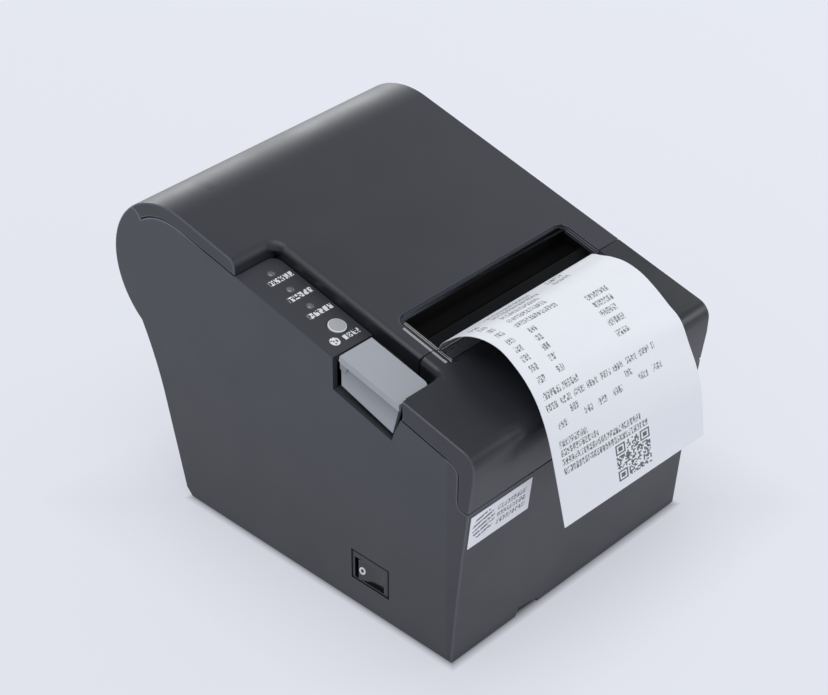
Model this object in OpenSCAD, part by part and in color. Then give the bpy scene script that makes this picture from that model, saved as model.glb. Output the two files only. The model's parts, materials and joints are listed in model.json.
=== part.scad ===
// Desktop receipt printer for 80 mm thermal paper, with drop-in roll and paper cutter.
// X is to the right seen from the front, -Y is the front and +Z is up.
// The origin lies on the table, under the middle of the machine and its hanging receipt.
// Side views are drawn as [y, z] outlines and pushed along X.

/* [Case] */
// Width of the case
body_w = 125; // [124:0.5:128]
// Wall thickness of the mouldings
wall = 2.2; // [2:0.1:2.4]
// Gap between neighbouring mouldings
seam = 0.35; // [0.25:0.05:0.45]
// Height of the lower rim of the case above the table
rim_z = 1; // [0.8:0.1:1.2]

/* [Lid] */
// Height of the sloping top above y = 0
top_z = 114; // [113.8:0.1:114.2]
// Rise of the sloping top for each millimetre towards the rear
top_slope = 0.2354; // [0.23:0.001:0.24]
// Depth of the lid's side flange below the top
flange_h = 5.6; // [5.4:0.1:5.8]
// Thickness of the frame under the lid
lid_frame_t = 1.6; // [1.4:0.1:1.8]

/* [Paper] */
// Width of the paper
paper_w = 79.6; // [79:0.1:80]
// Middle of the paper from the middle of the case
paper_x = 9.1; // [9:0.1:9.2]
// Radius of the paper roll
roll_r = 38; // [30:1:38]
// Thickness of the modelled paper
paper_t = 0.25; // [0.2:0.05:0.3]

/* [Print mechanism] */
// Radius of the rubber platen
platen_r = 5.8; // [5.7:0.1:5.8]
// Module of the gear teeth
gear_mod = 0.6; // [0.6]
// Teeth of the platen gear
platen_teeth = 24; // [24]
// Teeth of the idler gear
idler_teeth = 40; // [40]
// Teeth of the motor pinion
pinion_teeth = 12; // [12]
// Diameter of the stepper motor
motor_d = 34; // [32:1:35]

/* [Controls] */
// Diameter of the feed button
button_d = 6.8; // [6.6:0.1:7]
// Length of the cover release lever
lever_l = 28.3; // [28:0.1:28.6]
// Tilt of the power rocker to each side
rocker_tilt = 9; // [8:1:10]

/* [Hidden] */
$fn = 64;
eps = 0.01;

// Case
half_w = body_w / 2;
inner_w = half_w - wall;
tilt = atan(top_slope);
along = [cos(tilt), sin(tilt)];
normal = [-sin(tilt), cos(tilt)];
crest_c = [65.4, 97.2];
crest_r = (top_z + top_slope * crest_c.x - crest_c.y) * cos(tilt);
nose_r = 6.1;
nose_y = -75.6;
nose_c = [nose_y, top_z + top_slope * nose_y - nose_r / cos(tilt)];
cover_seam_z = 71.2;
front_foot_y = -72.7;
rear_foot_y = 62.6;
lid_front_y = -39.2;
waist = arc_pt(crest_c, crest_r, -52);
cover_flange_h = 7.6;
lid_crest_r = crest_r - flange_h * cos(tilt);
case_crest_r = lid_crest_r - seam;

// Lid hinge, just under the rear crest
hinge = arc_pt(crest_c, crest_r - 3.75, 43);
hinge_pin_r = 1.5;
running_gap = 0.06;
knuckle_r = 3.1;
knuckle_x = 44.1;
knuckle_w = 5.8;
lid_end_r = 5.6;

// Lean of the lid's front edge, so that it clears the front cover as it swings up
lid_rake = 0.7;

// Control panel on the left, level with the side wall's upper edge
panel_x1 = -43.4;
panel_y0 = -17;
panel_y1 = 30.8;
panel_corner_r = 4;
panel_t = 2.2;
led_x = -50.9;
led_ys = [24.8, 15.2, 5.4];
led_r = 1.5;
button_y = -7.1;
button_x = -50.5;
button_gap = 0.3;

// Release lever in its pocket in front of the panel
lever_x0 = -half_w + 0.2;
lever_x1 = -47;
lever_y1 = -20.8;
lever_y0 = lever_y1 - lever_l;
lever_drop = 2.6;
lever_front = lever_y0 * cos(tilt);
lever_rear = lever_y1 * cos(tilt);
lever_pivot = [-42, 92];
lever_pin_r = 1.5;
pocket_x1 = -46;
pocket_rear = [panel_y0 + 1, 90.6];
pocket_front = [-46, 82.9];
pocket_ledge_x1 = -42.4;
pocket_ledge_drop = 8.2;
pocket_ledge_t = 1.4;
recess_y0 = -50.4;
recess_r = 3.8;
liner_t = 1.6;
liner_h = 6.8;
pivot_post_x = [-59.5, -57.8];
lever_lug_x = [-57.4, -50.4];
lever_lug_t = 2;
link_x = -50.2;
link_t = 2;

// Power switch on the left side
switch_y = -33.3;
switch_z = 18.65;
switch_w = 18.6;
switch_h = 13.3;
rocker_y = -32.45;
rocker_z = 17.3;
switch_x1 = -42;
rocker_pivot_x = -55.5;

// Paper path: the roll, the lip of the bucket, the platen and the slot
bucket_c = [38, 78];
bucket_r = 41;
bucket_t = 1.8;
roll_gap = 0.4;
roll_c = [bucket_c.x, bucket_c.y - (bucket_r - roll_r) + roll_gap];
core_r = 12;
core_bore_r = 8.5;
paper_x0 = paper_x - paper_w / 2;
paper_x1 = paper_x + paper_w / 2;
platen_c = [-24.9, 94.2];
wrap_r = platen_r + 0.3 + paper_t / 2;
nip_angle = 210;
nip = arc_pt(platen_c, wrap_r, nip_angle);
web_dir = [-sin(30), cos(30)];
web_out = [-cos(30), -sin(30)];
lip = [-3, 86];
cut_low = 9;
cut_high = 10.6;

// Slot for the receipt
slot_x0 = -32;
slot_x1 = 50.2;
slot_y1 = -21.6;
slot_skirt = 1.4;
slot_depth = 8;

// Steps of the rim round the slot: growth to the left, front, rear and right, depth, corner radius
rim_steps = [[4.4, 3.4, 1, 1.2, 0.8, 4.4], [2.2, 2, 0.6, 0.8, 1.5, 2.8], [0.9, 0.9, 0.2, 0.4, 2.2, 1.6]];
slot_y0 = -44.2;

// Stations of the print mechanism across the machine
platen_x0 = -31.4;
platen_x1 = 49.6;
arm_x = [-35.4, 52];
arm_t = 1.6;
plate_x = [-37, 54.1];
plate_t = 1.1;
hook_x = [-38.5, 55.6];
hook_t = 1.1;
gear_x0 = -41.2;
gear_t = 2.4;
platen_shaft_r = 2;
bush_r = 3.2;

// Gear train: platen, idler and motor, with a little play between the pitch circles
mesh_play = 0.12;
platen_pitch_r = gear_mod * platen_teeth / 2;
idler_pitch_r = gear_mod * idler_teeth / 2;
pinion_pitch_r = gear_mod * pinion_teeth / 2;
idler_dir = -100;
motor_dir = -110;
idler_c = arc_pt(platen_c, platen_pitch_r + idler_pitch_r + mesh_play, idler_dir);
motor_c = arc_pt(idler_c, idler_pitch_r + pinion_pitch_r + mesh_play, motor_dir);
idler_phase = idler_dir + 180 + 180 / idler_teeth;
idler_pitch_deg = 360 / idler_teeth;
idler_turns = (motor_dir - idler_phase) / idler_pitch_deg;
idler_off = (idler_turns - floor(idler_turns)) * idler_pitch_deg;
pinion_phase = motor_dir + 180 + idler_off * idler_teeth / pinion_teeth + 180 / pinion_teeth;

// Latch behind the front cover
latch_c = [-46, 78];
latch_r = 1.6;

// Cutter
blade_t = 0.8;
blade_w = [9.4, 9.4 + blade_t];
blade_l = 21;
cutter_wheel_r = 4;
cutter_c = at_nip(blade_w[0] - 0.3 - cutter_wheel_r, 11.5);
cutter_x = 30;
wheel_w = 3;

// Base and rear connectors
plate_z0 = 1.4;
plate_z1 = 3.6;
foot_r = 6.5;
foot_xy = [[-46, -56], [46, -56], [-46, 48], [46, 48]];
screw_xy = [[-56.6, -66], [56.6, -66], [-56.6, 54], [56.6, 54]];
screw_r = 1.4;
post_r = 3.7;
bay_x = 47;
bay_y = 52;
bay_z1 = 27;
board_z = 8;
board_t = 1.6;
standoff_xy = [[-29, -54.5], [46, -54.5], [-29, 38], [46, 38]];

// Legs of the roll bucket, which pass through notches in the board
leg_xs = [-26, 40];
leg_y = 30;
leg_w = 6;
leg_d = 4;
leg_gap = 0.6;

// ---------------------------------------------------------------- helpers

function arc_pt(c, r, a) = c + r * [cos(a), sin(a)];

function arc(c, r, a0, a1, n) = [for (i = [0:n]) arc_pt(c, r, a0 + (a1 - a0) * i / n)];

function bez(a, b, c, n) = [for (i = [0:n])
    let (t = i / n) (1 - t) * (1 - t) * a + 2 * t * (1 - t) * b + t * t * c];

function unit(v) = v / norm(v);

// A point on the sloping top, lowered by drop
function on_top(y, drop = 0) = [y, top_z + top_slope * y - drop];

// A point given from the nip, w along the paper and n away from the platen
function at_nip(w, n) = nip + w * web_dir + n * web_out;

// Mitred inset of a clockwise outline
function inset(p, d) = [for (i = [0:len(p) - 1])
    let (
        u = unit(p[i] - p[(i + len(p) - 1) % len(p)]),
        v = unit(p[(i + 1) % len(p)] - p[i]),
        nu = [u.y, -u.x],
        nv = [v.y, -v.x],
        m = unit(nu + nv)
    ) p[i] + m * d / (m * nu)];

// Point number i of a smooth curve through the points p, at fraction t of its span
function through(p, i, t) = let (
        a = p[max(i - 1, 0)], b = p[i], c = p[i + 1], d = p[min(i + 2, len(p) - 1)]
    ) 0.5 * (2 * b + (c - a) * t + (2 * a - 5 * b + 4 * c - d) * t * t
    + (3 * b - a - 3 * c + d) * t * t * t);

function curve(p, n) = [for (i = [0:len(p) - 2]) for (k = [0:n - 1]) through(p, i, k / n),
    p[len(p) - 1]];

// Side normal of a path of points at point i
function path_normal(p, i) = let (
        t = unit(p[min(i + 1, len(p) - 1)] - p[max(i - 1, 0)])
    ) [-t.y, t.x];

// Closed outline of a strip of thickness t along the path p
function ribbon(p, t) = concat(
    [for (i = [0:len(p) - 1]) p[i] + path_normal(p, i) * t / 2],
    [for (i = [len(p) - 1:-1:0]) p[i] - path_normal(p, i) * t / 2]);

// Pushes a [y, z] drawing along X
module slab(x0, x1) {
    translate([x0, 0, 0])
        rotate([90, 0, 90])
            linear_extrude(x1 - x0)
                children();
}

// Round bar along X through the point c of the side view
module bar(c, r, x0, x1) {
    translate([x0, c.x, c.y])
        rotate([0, 90, 0])
            cylinder(r = r, h = x1 - x0);
}

// Places children in the frame of the sloping top: z along the normal, at x, y and a drop
module on_slope(x, y, drop) {
    translate([x, y, on_top(y, drop).y])
        rotate([tilt, 0, 0])
            children();
}

// Box given by two corners
module block(a, b) {
    translate(a)
        cube(b - a);
}

// Box in the frame of the nip, from w0 to w1 along the paper and n0 to n1 away from it
module nip_block(x0, x1, w0, w1, n0, n1) {
    slab(x0, x1)
        polygon([at_nip(w0, n0), at_nip(w1, n0), at_nip(w1, n1), at_nip(w0, n1)]);
}

// Rectangle with rounded corners
module rounded(x0, y0, x1, y1, r) {
    translate([x0 + r, y0 + r])
        offset(r)
            square([x1 - x0 - 2 * r, y1 - y0 - 2 * r]);
}

// ---------------------------------------------------------------- case outlines

body_pts = concat(
    bez([front_foot_y, rim_z], [-75.4, 38], [-79.6, cover_seam_z], 6),
    [[-81.4, nose_c.y - 6]],
    arc(nose_c, nose_r, 180, 90 + tilt, 6),
    [arc_pt(crest_c, crest_r, 90 + tilt), crest_c],
    bez(waist, [78.4, 59], [74.9, 45], 5),
    [[65.6, 4.2], [rear_foot_y, rim_z]]);

// Side view of the whole case, moved inwards by d
module body_outline(d) {
    polygon(d == 0 ? body_pts : inset(body_pts, d));
    translate(crest_c)
        circle(r = crest_r - d, $fn = 180);
}

// Seam between the front cover and the case, from the front to the lid
cover_seam = concat(
    [[-90, cover_seam_z], [-78.6, cover_seam_z]],
    bez([-77.4, cover_seam_z], [-74.8, cover_seam_z], [-74.7, 75], 4),
    bez([-74.9, 83], [-75.4, 87.8], [-71.4, 88.8], 4),
    [on_top(lid_front_y, cover_flange_h)]);

// Everything that belongs to the front cover
module cover_zone() {
    polygon(concat(cover_seam, [[lid_front_y, 140], [-90, 140]]));
}

// Everything that belongs to the lid
module lid_zone() {
    difference() {
        polygon([[lid_front_y + seam, 140], on_top(lid_front_y + seam),
            on_top(lid_front_y + seam + lid_rake, flange_h),
            arc_pt(crest_c, lid_crest_r - 0.1, 90 + tilt), crest_c, hinge,
            hinge + [10, 17], [hinge.x + 10, 140]]);
        translate(crest_c)
            circle(r = lid_crest_r, $fn = 180);
        translate(hinge)
            circle(r = lid_end_r);
    }
}

// Everything that belongs to the case
module case_zone() {
    polygon(concat(
        [for (i = [0:len(cover_seam) - 2]) cover_seam[i] - path_normal(cover_seam, i) * seam],
        [on_top(lid_front_y + seam / 2, cover_flange_h + seam),
            on_top(lid_front_y + seam / 2, flange_h + seam),
            arc_pt(crest_c, case_crest_r, 90 + tilt), crest_c, hinge,
            hinge + [10, 17], [130, 120], [130, -5], [-90, -5]]));
    translate(crest_c)
        circle(r = case_crest_r, $fn = 180);
    translate(hinge)
        circle(r = lid_end_r - seam);
}

// ---------------------------------------------------------------- case

// Opening for the lever in the side wall, seen from the side
lever_window = [[panel_y0, 120], [panel_y0 + 0.2, 91.2], [-44.6, 83.8], [-45.6, 87.4],
    on_top(-49.4, flange_h + 1), [-49.4, 120]];

module control_panel() {
    slab(-half_w + eps, panel_x1)
        polygon([on_top(panel_y0, flange_h), on_top(panel_y1, flange_h),
            on_top(panel_y1, flange_h + panel_t), on_top(panel_y0, flange_h + panel_t)]);
}

module lever_pocket() {
    floor_t = 1.6;
    side_t = 1.4;
    ledge_bottom = pocket_ledge_drop + pocket_ledge_t;
    slab(-inner_w - 1, pocket_x1)
        polygon([pocket_rear, pocket_front, pocket_front - [0, floor_t], pocket_rear - [0, floor_t]]);
    slab(pocket_x1 - side_t, pocket_x1)
        polygon([pocket_rear - [0, floor_t], on_top(pocket_rear.x, ledge_bottom - 0.6),
            on_top(pocket_front.x, ledge_bottom - 0.6), pocket_front - [0, floor_t]]);
    slab(pocket_x1 - side_t, pocket_ledge_x1)
        polygon([on_top(pocket_rear.x, pocket_ledge_drop), on_top(pocket_front.x, pocket_ledge_drop),
            on_top(pocket_front.x, ledge_bottom), on_top(pocket_rear.x, ledge_bottom)]);
    slab(pivot_post_x[0], pivot_post_x[1])
        polygon([[-45.6, 82.6], [-45, 93.4], [-43.6, 94.8], [-40.4, 94.8], [-39, 93.4],
            [-37.6, 85]]);
}

module hinge_lugs(side) {
    mirror([side < 0 ? 1 : 0, 0, 0]) {
        bar(hinge, knuckle_r, knuckle_x - 5, knuckle_x - 0.3);
        bar(hinge, knuckle_r, knuckle_x + knuckle_w + 0.3, inner_w + 1);
    }
}

module hinge_notch(side) {
    mirror([side < 0 ? 1 : 0, 0, 0])
        bar(hinge, lid_end_r + 1, knuckle_x - 0.3, knuckle_x + knuckle_w + 0.3);
}

module connector_bay() {
    difference() {
        block([-bay_x - wall, bay_y, plate_z1 + 0.1], [bay_x + wall, 71, bay_z1 + wall]);
        block([-bay_x, bay_y - 1, 0], [bay_x, 80, bay_z1]);
    }
}

module panel_corner() {
    translate([panel_x1 - panel_corner_r, panel_y1 - panel_corner_r, 100])
        difference() {
            cube([panel_corner_r + 1, panel_corner_r + 1, 25]);
            translate([0, 0, -1])
                cylinder(r = panel_corner_r, h = 27);
        }
}

module bottom_notch() {
    slot_x = -29.3;
    notch_w = 13.3;
    notch_h = 3.4;
    translate([slot_x, -90, 0])
        rotate([90, 0, 0])
            mirror([0, 0, 1])
                linear_extrude(30)
                    polygon([[0, 0], [2, rim_z + notch_h], [notch_w - 1.2, rim_z + notch_h / 2],
                        [notch_w - 0.6, 0]]);
}

module case_shell() {
    color("#3b3d42")
        difference() {
            union() {
                difference() {
                    intersection() {
                        slab(-half_w, half_w)
                            body_outline(0);
                        slab(-half_w - 1, half_w + 1)
                            case_zone();
                    }
                    slab(-inner_w, inner_w)
                        body_outline(wall);
                    block([-inner_w, front_foot_y + wall, -1], [inner_w, 63, 20]);
                }
                intersection() {
                    control_panel();
                    slab(-half_w, half_w)
                        body_outline(0);
                }
                lever_pocket();
                intersection() {
                    union() {
                        hinge_lugs(1);
                        hinge_lugs(-1);
                        connector_bay();
                    }
                    slab(-half_w, half_w)
                        body_outline(0.3);
                }
                for (p = screw_xy)
                    translate([p.x, p.y, plate_z1])
                        cylinder(r = post_r, h = 10);
                cover_tabs();
            }
            slab(-half_w - 1, -inner_w + eps)
                polygon(lever_window);
            block([link_x - 1, -47.5, 78], [link_x + link_t + 0.8, -33.6, 89.5]);
            slab(-half_w - 1, panel_x1 + 3)
                polygon([[panel_y0, 140], [panel_y0, 98], [-60, 98], [-60, 140]]);
            hinge_notch(1);
            hinge_notch(-1);
            for (s = [0, 1])
                mirror([s, 0, 0])
                    bar(hinge, hinge_pin_r, knuckle_x - 6, half_w - 1);
            block([-bay_x, bay_y, -1], [bay_x, 90, bay_z1]);
            for (p = screw_xy)
                translate([p.x, p.y, 0])
                    cylinder(r = screw_r, h = 12);
            for (y = led_ys)
                on_slope(led_x, y, flange_h)
                    translate([0, 0, -panel_t - 1])
                        cylinder(r = led_r, h = panel_t + 3);
            on_slope(button_x, button_y, flange_h)
                translate([0, 0, -panel_t - 1])
                    cylinder(r = button_d / 2 + button_gap, h = panel_t + 3);
            panel_corner();
            bar(lever_pivot, lever_pin_r, pivot_post_x[0] - 0.2, pocket_x1 + 1);
            block([-half_w - 1, switch_y - switch_w / 2, switch_z - switch_h / 2],
                [-inner_w + 1, switch_y + switch_w / 2, switch_z + switch_h / 2]);
            bottom_notch();
        }
}

// Ledges inside the case that carry the front cover
module cover_tabs() {
    for (x = [-inner_w, inner_w - 6])
        block([x, -74, 66], [x + 6, -66, 70.6]);
}

module front_cover() {
    color("#36383d")
        difference() {
            union() {
                difference() {
                    intersection() {
                        slab(-half_w, half_w)
                            body_outline(0);
                        slab(-half_w - 1, half_w + 1)
                            cover_zone();
                    }
                    slab(-inner_w, inner_w)
                        difference() {
                            body_outline(wall);
                            polygon([[-60, 140], [-60, 95], [-90, 90], [-90, 140]]);
                        }
                    slab(-inner_w, inner_w)
                        polygon([on_top(-60.01, wall + 1.6), on_top(-74, wall + 1.6),
                            [-79.3, 86], [-78.2, 60], [-60, 60]]);
                }
                slot_front_lip();
                slab(-inner_w - eps, panel_x1 + seam + liner_t)
                    polygon([on_top(lid_front_y, 0.5), on_top(recess_y0 - 0.5, 0.5),
                        on_top(recess_y0 - 0.5, liner_h), on_top(lid_front_y, liner_h)]);
                slab(slot_x0 - 2, slot_x1 + 2)
                    polygon([on_top(lid_front_y, 1), on_top(-60.5, 1), on_top(-60.5, 5.8),
                        on_top(lid_front_y, 5.8)]);
            }
            scoop();
            slot_rim();
            slab(slot_x0, slot_x1)
                polygon([at_nip(5, 1), on_top(-42.6, 9), on_top(-44.4, -3), on_top(-30, -3),
                    at_nip(5, -9)]);
            lever_recess_in_cover();
        }
}

// Wall round the front of the receipt slot
module slot_front_lip() {
    slab(slot_x0 - slot_skirt, slot_x1 + slot_skirt)
        polygon([on_top(lid_front_y, 0.3), on_top(lid_front_y, slot_depth - 1),
            on_top(-43, slot_depth - 1), on_top(-46.4, 0.3)]);
}

// Stepped recess round the slot, in the lid and in the front cover alike
module slot_rim() {
    for (s = rim_steps)
        on_slope(0, 0, 0)
            translate([0, 0, -s[4]])
                linear_extrude(s[4] + 5)
                    rounded(slot_x0 - s[0], slot_y0 / cos(tilt) - s[1], slot_x1 + s[3],
                        slot_y1 / cos(tilt) + s[2], s[5]);
}

// Shallow dish in front of the slot, turned about an axis high above the slope
module scoop() {
    dish_r = 255;
    dish_depth = 3.2;
    dish_l = 31;
    steps = 6;
    on_slope((slot_x0 + slot_x1) / 2, lid_front_y - 3.4, 0)
        translate([0, 0, dish_r])
            rotate([90, 0, 0])
                rotate([0, 0, -90])
                    rotate_extrude($fn = 360)
                        polygon(concat([[0, -9], [dish_r + dish_depth, -9]],
                            [for (i = [0:steps]) let (t = i / steps)
                                [dish_r + dish_depth * (1 - t * t), dish_l * t]],
                            [[0, dish_l]]));
}

module lever_recess_in_cover() {
    depth = 12;
    on_slope(0, 0, 0)
        translate([0, 0, -depth])
            linear_extrude(depth + 5)
                rounded(-half_w - 10, recess_y0, panel_x1 + seam, recess_y0 + 40, recess_r);
    slab(-half_w - 1, -inner_w + eps)
        polygon(lever_window);
}

module bottom_plate() {
    gap = 0.2;
    color("#2c2d30")
        difference() {
            block([-inner_w + gap, -70, plate_z0], [inner_w - gap, 60, plate_z1]);
            for (p = screw_xy)
                translate([p.x, p.y, 0]) {
                    cylinder(r = screw_r + 0.2, h = 10);
                    cylinder(r = 3.1, h = plate_z0 + 1.4);
                }
            for (x = [-30:12:30])
                block([x - 2, -44, 0], [x + 2, -20, 10]);
            block([-29.6, -71, 0], [-15.7, -64, 10]);
        }
}

module rubber_feet() {
    color("#1b1b1d")
        for (p = foot_xy)
            translate([p.x, p.y, 0]) {
                cylinder(r1 = foot_r - 0.5, r2 = foot_r, h = 0.5);
                translate([0, 0, 0.5])
                    cylinder(r = foot_r, h = plate_z0 - 0.5);
            }
}

module case_screws() {
    head_h = 1.3;
    color("silver")
        for (p = screw_xy)
            translate([p.x, p.y, plate_z0 + 0.1])
                difference() {
                    union() {
                        cylinder(r = 2.8, h = head_h);
                        cylinder(r = screw_r, h = 10);
                    }
                    for (a = [0, 90])
                        rotate([0, 0, a])
                            translate([-1.7, -0.3, -1])
                                cube([3.4, 0.6, 1.8]);
                }
}

// ---------------------------------------------------------------- rear connectors

io_y = bay_y - 1.2;
power_x = -36;
usb_x = -14;
lan_x = 9;
drawer_x = 33;

module io_bracket() {
    color("#b9bcc0")
        difference() {
            union() {
                block([-bay_x - 1, io_y, plate_z1], [bay_x + 1, bay_y - 0.1, bay_z1 + 1.5]);
                block([-bay_x + 6, io_y - 9, plate_z1], [bay_x - 6, io_y + eps, plate_z1 + 1.2]);
            }
            translate([power_x, io_y - 1, 17])
                rotate([-90, 0, 0])
                    cylinder(r = 6.2, h = 5);
            block([usb_x - 6.2, io_y - 1, 9.4], [usb_x + 6.2, bay_y + 1, 20.8]);
            block([lan_x - 8.2, io_y - 1, 9.4], [lan_x + 8.2, bay_y + 1, 23]);
            block([drawer_x - 6.8, io_y - 1, 9.4], [drawer_x + 6.8, bay_y + 1, 22]);
        }
}

module power_socket() {
    color("#222326")
        translate([power_x, 0, 17])
            difference() {
                union() {
                    block([-7, io_y - 13, -7.4], [7, io_y - 0.1, 7]);
                    translate([0, io_y - 1, 0])
                        rotate([-90, 0, 0])
                            cylinder(r = 6, h = 4);
                }
                translate([0, io_y - 6, 0])
                    rotate([-90, 0, 0])
                        cylinder(r = 4.7, h = 12);
            }
    color("gold")
        for (a = [30, 150, 270])
            translate([power_x + 2.6 * cos(a), io_y - 6.5, 17 + 2.6 * sin(a)])
                rotate([-90, 0, 0])
                    cylinder(r = 0.6, h = 6);
}

module usb_socket() {
    color("#a7abb0")
        difference() {
            block([usb_x - 6, io_y - 15, board_z + board_t], [usb_x + 6, bay_y + 1.2, 20.6]);
            block([usb_x - 4.4, io_y - 9, 11.4], [usb_x + 4.4, bay_y + 2, 19]);
        }
    color("white")
        block([usb_x - 2.8, io_y - 9 - eps, 13.6], [usb_x + 2.8, io_y - 1, 16.6]);
}

module lan_socket() {
    color("#a7abb0")
        difference() {
            block([lan_x - 8, io_y - 18, board_z + board_t], [lan_x + 8, bay_y + 1.2, 22.8]);
            block([lan_x - 5.9, io_y - 11, 11.6], [lan_x + 5.9, bay_y + 2, 18.6]);
            block([lan_x - 3, io_y - 11, 11.6], [lan_x + 3, bay_y + 2, 20.8]);
        }
}

module drawer_socket() {
    color("#1f2022")
        difference() {
            block([drawer_x - 6.6, io_y - 16, board_z + board_t],
                [drawer_x + 6.6, bay_y + 1.2, 21.8]);
            block([drawer_x - 4.9, io_y - 11, 11.6], [drawer_x + 4.9, bay_y + 2, 18]);
            block([drawer_x - 2.2, io_y - 11, 11.6], [drawer_x + 2.2, bay_y + 2, 19.8]);
        }
}

module main_board() {
    color("#1f6b3a")
        difference() {
            block([-34, -58, board_z], [50, io_y - 0.4, board_z + board_t]);
            for (p = standoff_xy)
                translate([p.x, p.y, 0])
                    cylinder(r = 1.7, h = 20);
            for (x = leg_xs)
                block([x - leg_gap, leg_y - leg_gap, 0],
                    [x + leg_w + leg_gap, leg_y + leg_d + leg_gap, 20]);
        }
    color("silver")
        for (p = standoff_xy)
            translate([p.x, p.y, plate_z1])
                cylinder(r = 3, h = board_z - plate_z1);
}

module board_parts() {
    top = board_z + board_t;
    color("#202124") {
        block([-4, -20, top], [12, -4, top + 1.6]);
        block([22, -14, top], [34, -6, top + 1.2]);
        block([-24, 6, top], [-12, 14, top + 1.4]);
        block([20, 8, top], [30, 18, top + 4]);
    }
    color("#30506e")
        for (p = [[-26, -12], [-26, -26], [40, -30]])
            translate([p.x, p.y, top])
                cylinder(r = 5, h = 14);
    color("ivory") {
        block([-10, -50, top], [16, -44, top + 5]);
        block([22, -50, top], [38, -44, top + 6]);
    }
}

// ---------------------------------------------------------------- paper supply

module roll_bucket() {
    x0 = slot_x0 - 0.2;
    x1 = paper_x1 + 1.3;
    color("#2f3135")
        difference() {
            slab(x0 - bucket_t, x1 + bucket_t)
                union() {
                    intersection() {
                        translate(bucket_c)
                            circle(r = bucket_r + bucket_t, $fn = 120);
                        polygon([[-20, 30], [-20, lip.y - 1.2], [10, lip.y - 1.2], [38, 70],
                            [90, 58], [90, 30]]);
                    }
                    polygon([[lip.x - 2.6, lip.y - 12], [lip.x - 1.6, lip.y - 1.2],
                        [lip.x + 1.6, lip.y - 1.2], [0.5, 68], [-4, 68]]);
                }
            slab(x0, x1)
                translate(bucket_c)
                    circle(r = bucket_r, $fn = 120);
            slab(x0 - 5, x1 + 5)
                translate(roll_c)
                    circle(r = 20);
        }
    color("#2f3135")
        for (x = leg_xs)
            block([x, leg_y, plate_z1], [x + leg_w, leg_y + leg_d, bucket_c.y - bucket_r]);
}

module paper_sensor() {
    color("#151618")
        slab(14, 22)
            polygon([[lip.x - 9, lip.y - 10], [lip.x - 9, lip.y - 1.8], [lip.x - 3, lip.y - 1.8],
                [lip.x - 2.9, lip.y - 10]]);
}

web_pts = concat(
    [roll_c + (roll_r + 0.5) * [cos(191), sin(191)]],
    [lip + [2.1, -6], lip + [1.4, -1.4], lip + [-0.2, 0.2], lip + [-3, 0.6]],
    arc(platen_c, wrap_r, 264, nip_angle, 6),
    [at_nip(4, 0), at_nip(cut_low, 0)]);

module paper_web() {
    color("#f2f3f5")
        slab(paper_x0, paper_x1)
            polygon(ribbon(web_pts, paper_t));
}

// Edges of the receipt from the cut to its free end, as seen from each side
receipt_left = [at_nip(cut_high, 0), at_nip(15.5, 0), [-41.7, 107.8], [-45.6, 110.9],
    [-51.3, 113.9], [-58.2, 115.5], [-64.9, 115], [-71.3, 111.9], [-77.4, 107.2], [-82.6, 100.7],
    [-87.1, 91.4], [-90.9, 79.3], [-96.6, 57.9]];
receipt_right = [at_nip(cut_high, 0), at_nip(14.5, 0), [-42, 105.2], [-47.2, 106.8],
    [-53.7, 107.6], [-60.8, 106.3], [-67.5, 103.1], [-73.8, 99.1], [-79.8, 95.1], [-84.5, 87],
    [-88.8, 78.9], [-91.8, 70], [-94.4, 52.7]];

// Sideways drift of the receipt's free end
receipt_drift = -2;

function side3(x, p) = [x, p.x, p.y];

module receipt() {
    steps = 3;
    a = curve(receipt_left, steps);
    b = curve(receipt_right, steps);
    n = len(a);
    pts = [for (i = [0:n - 1]) for (p = [
        side3(paper_x0, a[i] + path_normal(a, i) * paper_t / 2),
        side3(paper_x1, b[i] + path_normal(b, i) * paper_t / 2),
        side3(paper_x1, b[i] - path_normal(b, i) * paper_t / 2),
        side3(paper_x0, a[i] - path_normal(a, i) * paper_t / 2)])
            p + [receipt_drift * i / (n - 1), 0, 0]];
    quads = [for (i = [0:n - 2]) for (k = [0:3])
        [4 * i + k, 4 * i + (k + 1) % 4, 4 * i + 4 + (k + 1) % 4, 4 * i + 4 + k]];
    tris = [for (q = quads) for (t = [[q[0], q[1], q[2]], [q[0], q[2], q[3]]]) t];
    last = 4 * (n - 1);
    color("#f2f3f5")
        polyhedron(pts, concat(tris, [[3, 2, 1], [3, 1, 0],
            [last, last + 1, last + 2], [last, last + 2, last + 3]]));
}

module paper_roll() {
    color("#eceded")
        difference() {
            bar(roll_c, roll_r, paper_x0, paper_x1);
            bar(roll_c, core_r, paper_x0 - 1, paper_x1 + 1);
        }
}

module roll_core() {
    color("#b08d62")
        difference() {
            bar(roll_c, core_r, paper_x0, paper_x1);
            bar(roll_c, core_bore_r, paper_x0 - 1, paper_x1 + 1);
        }
}

// ---------------------------------------------------------------- print mechanism

module mech_plate(x) {
    exit_dir = [-0.22, 0.976];
    side = [exit_dir.y, -exit_dir.x] * (bush_r + 0.5);
    difference() {
        slab(x, x + plate_t)
            polygon([[-52, plate_z1], [-52, 84], [-46.5, 95.5], [-38, 99.8], [-17, 99.8],
                [-13, 92], [-13, 52], [-30, 44], [-38, plate_z1]]);
        slab(x - 1, x + plate_t + 1)
            polygon([platen_c - side, platen_c - side + exit_dir * 12,
                platen_c + side + exit_dir * 12, platen_c + side]);
        bar(platen_c, bush_r + 0.5, x - 1, x + plate_t + 1);
        bar(latch_c, latch_r + running_gap, x - 1, x + plate_t + 1);
        bar(motor_c, 5.2, x - 1, x + plate_t + 1);
        slab(x - 1, x + plate_t + 1)
            polygon([[-48, 14], [-48, 36], [-40, 36], [-40, 14]]);
    }
}

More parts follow.
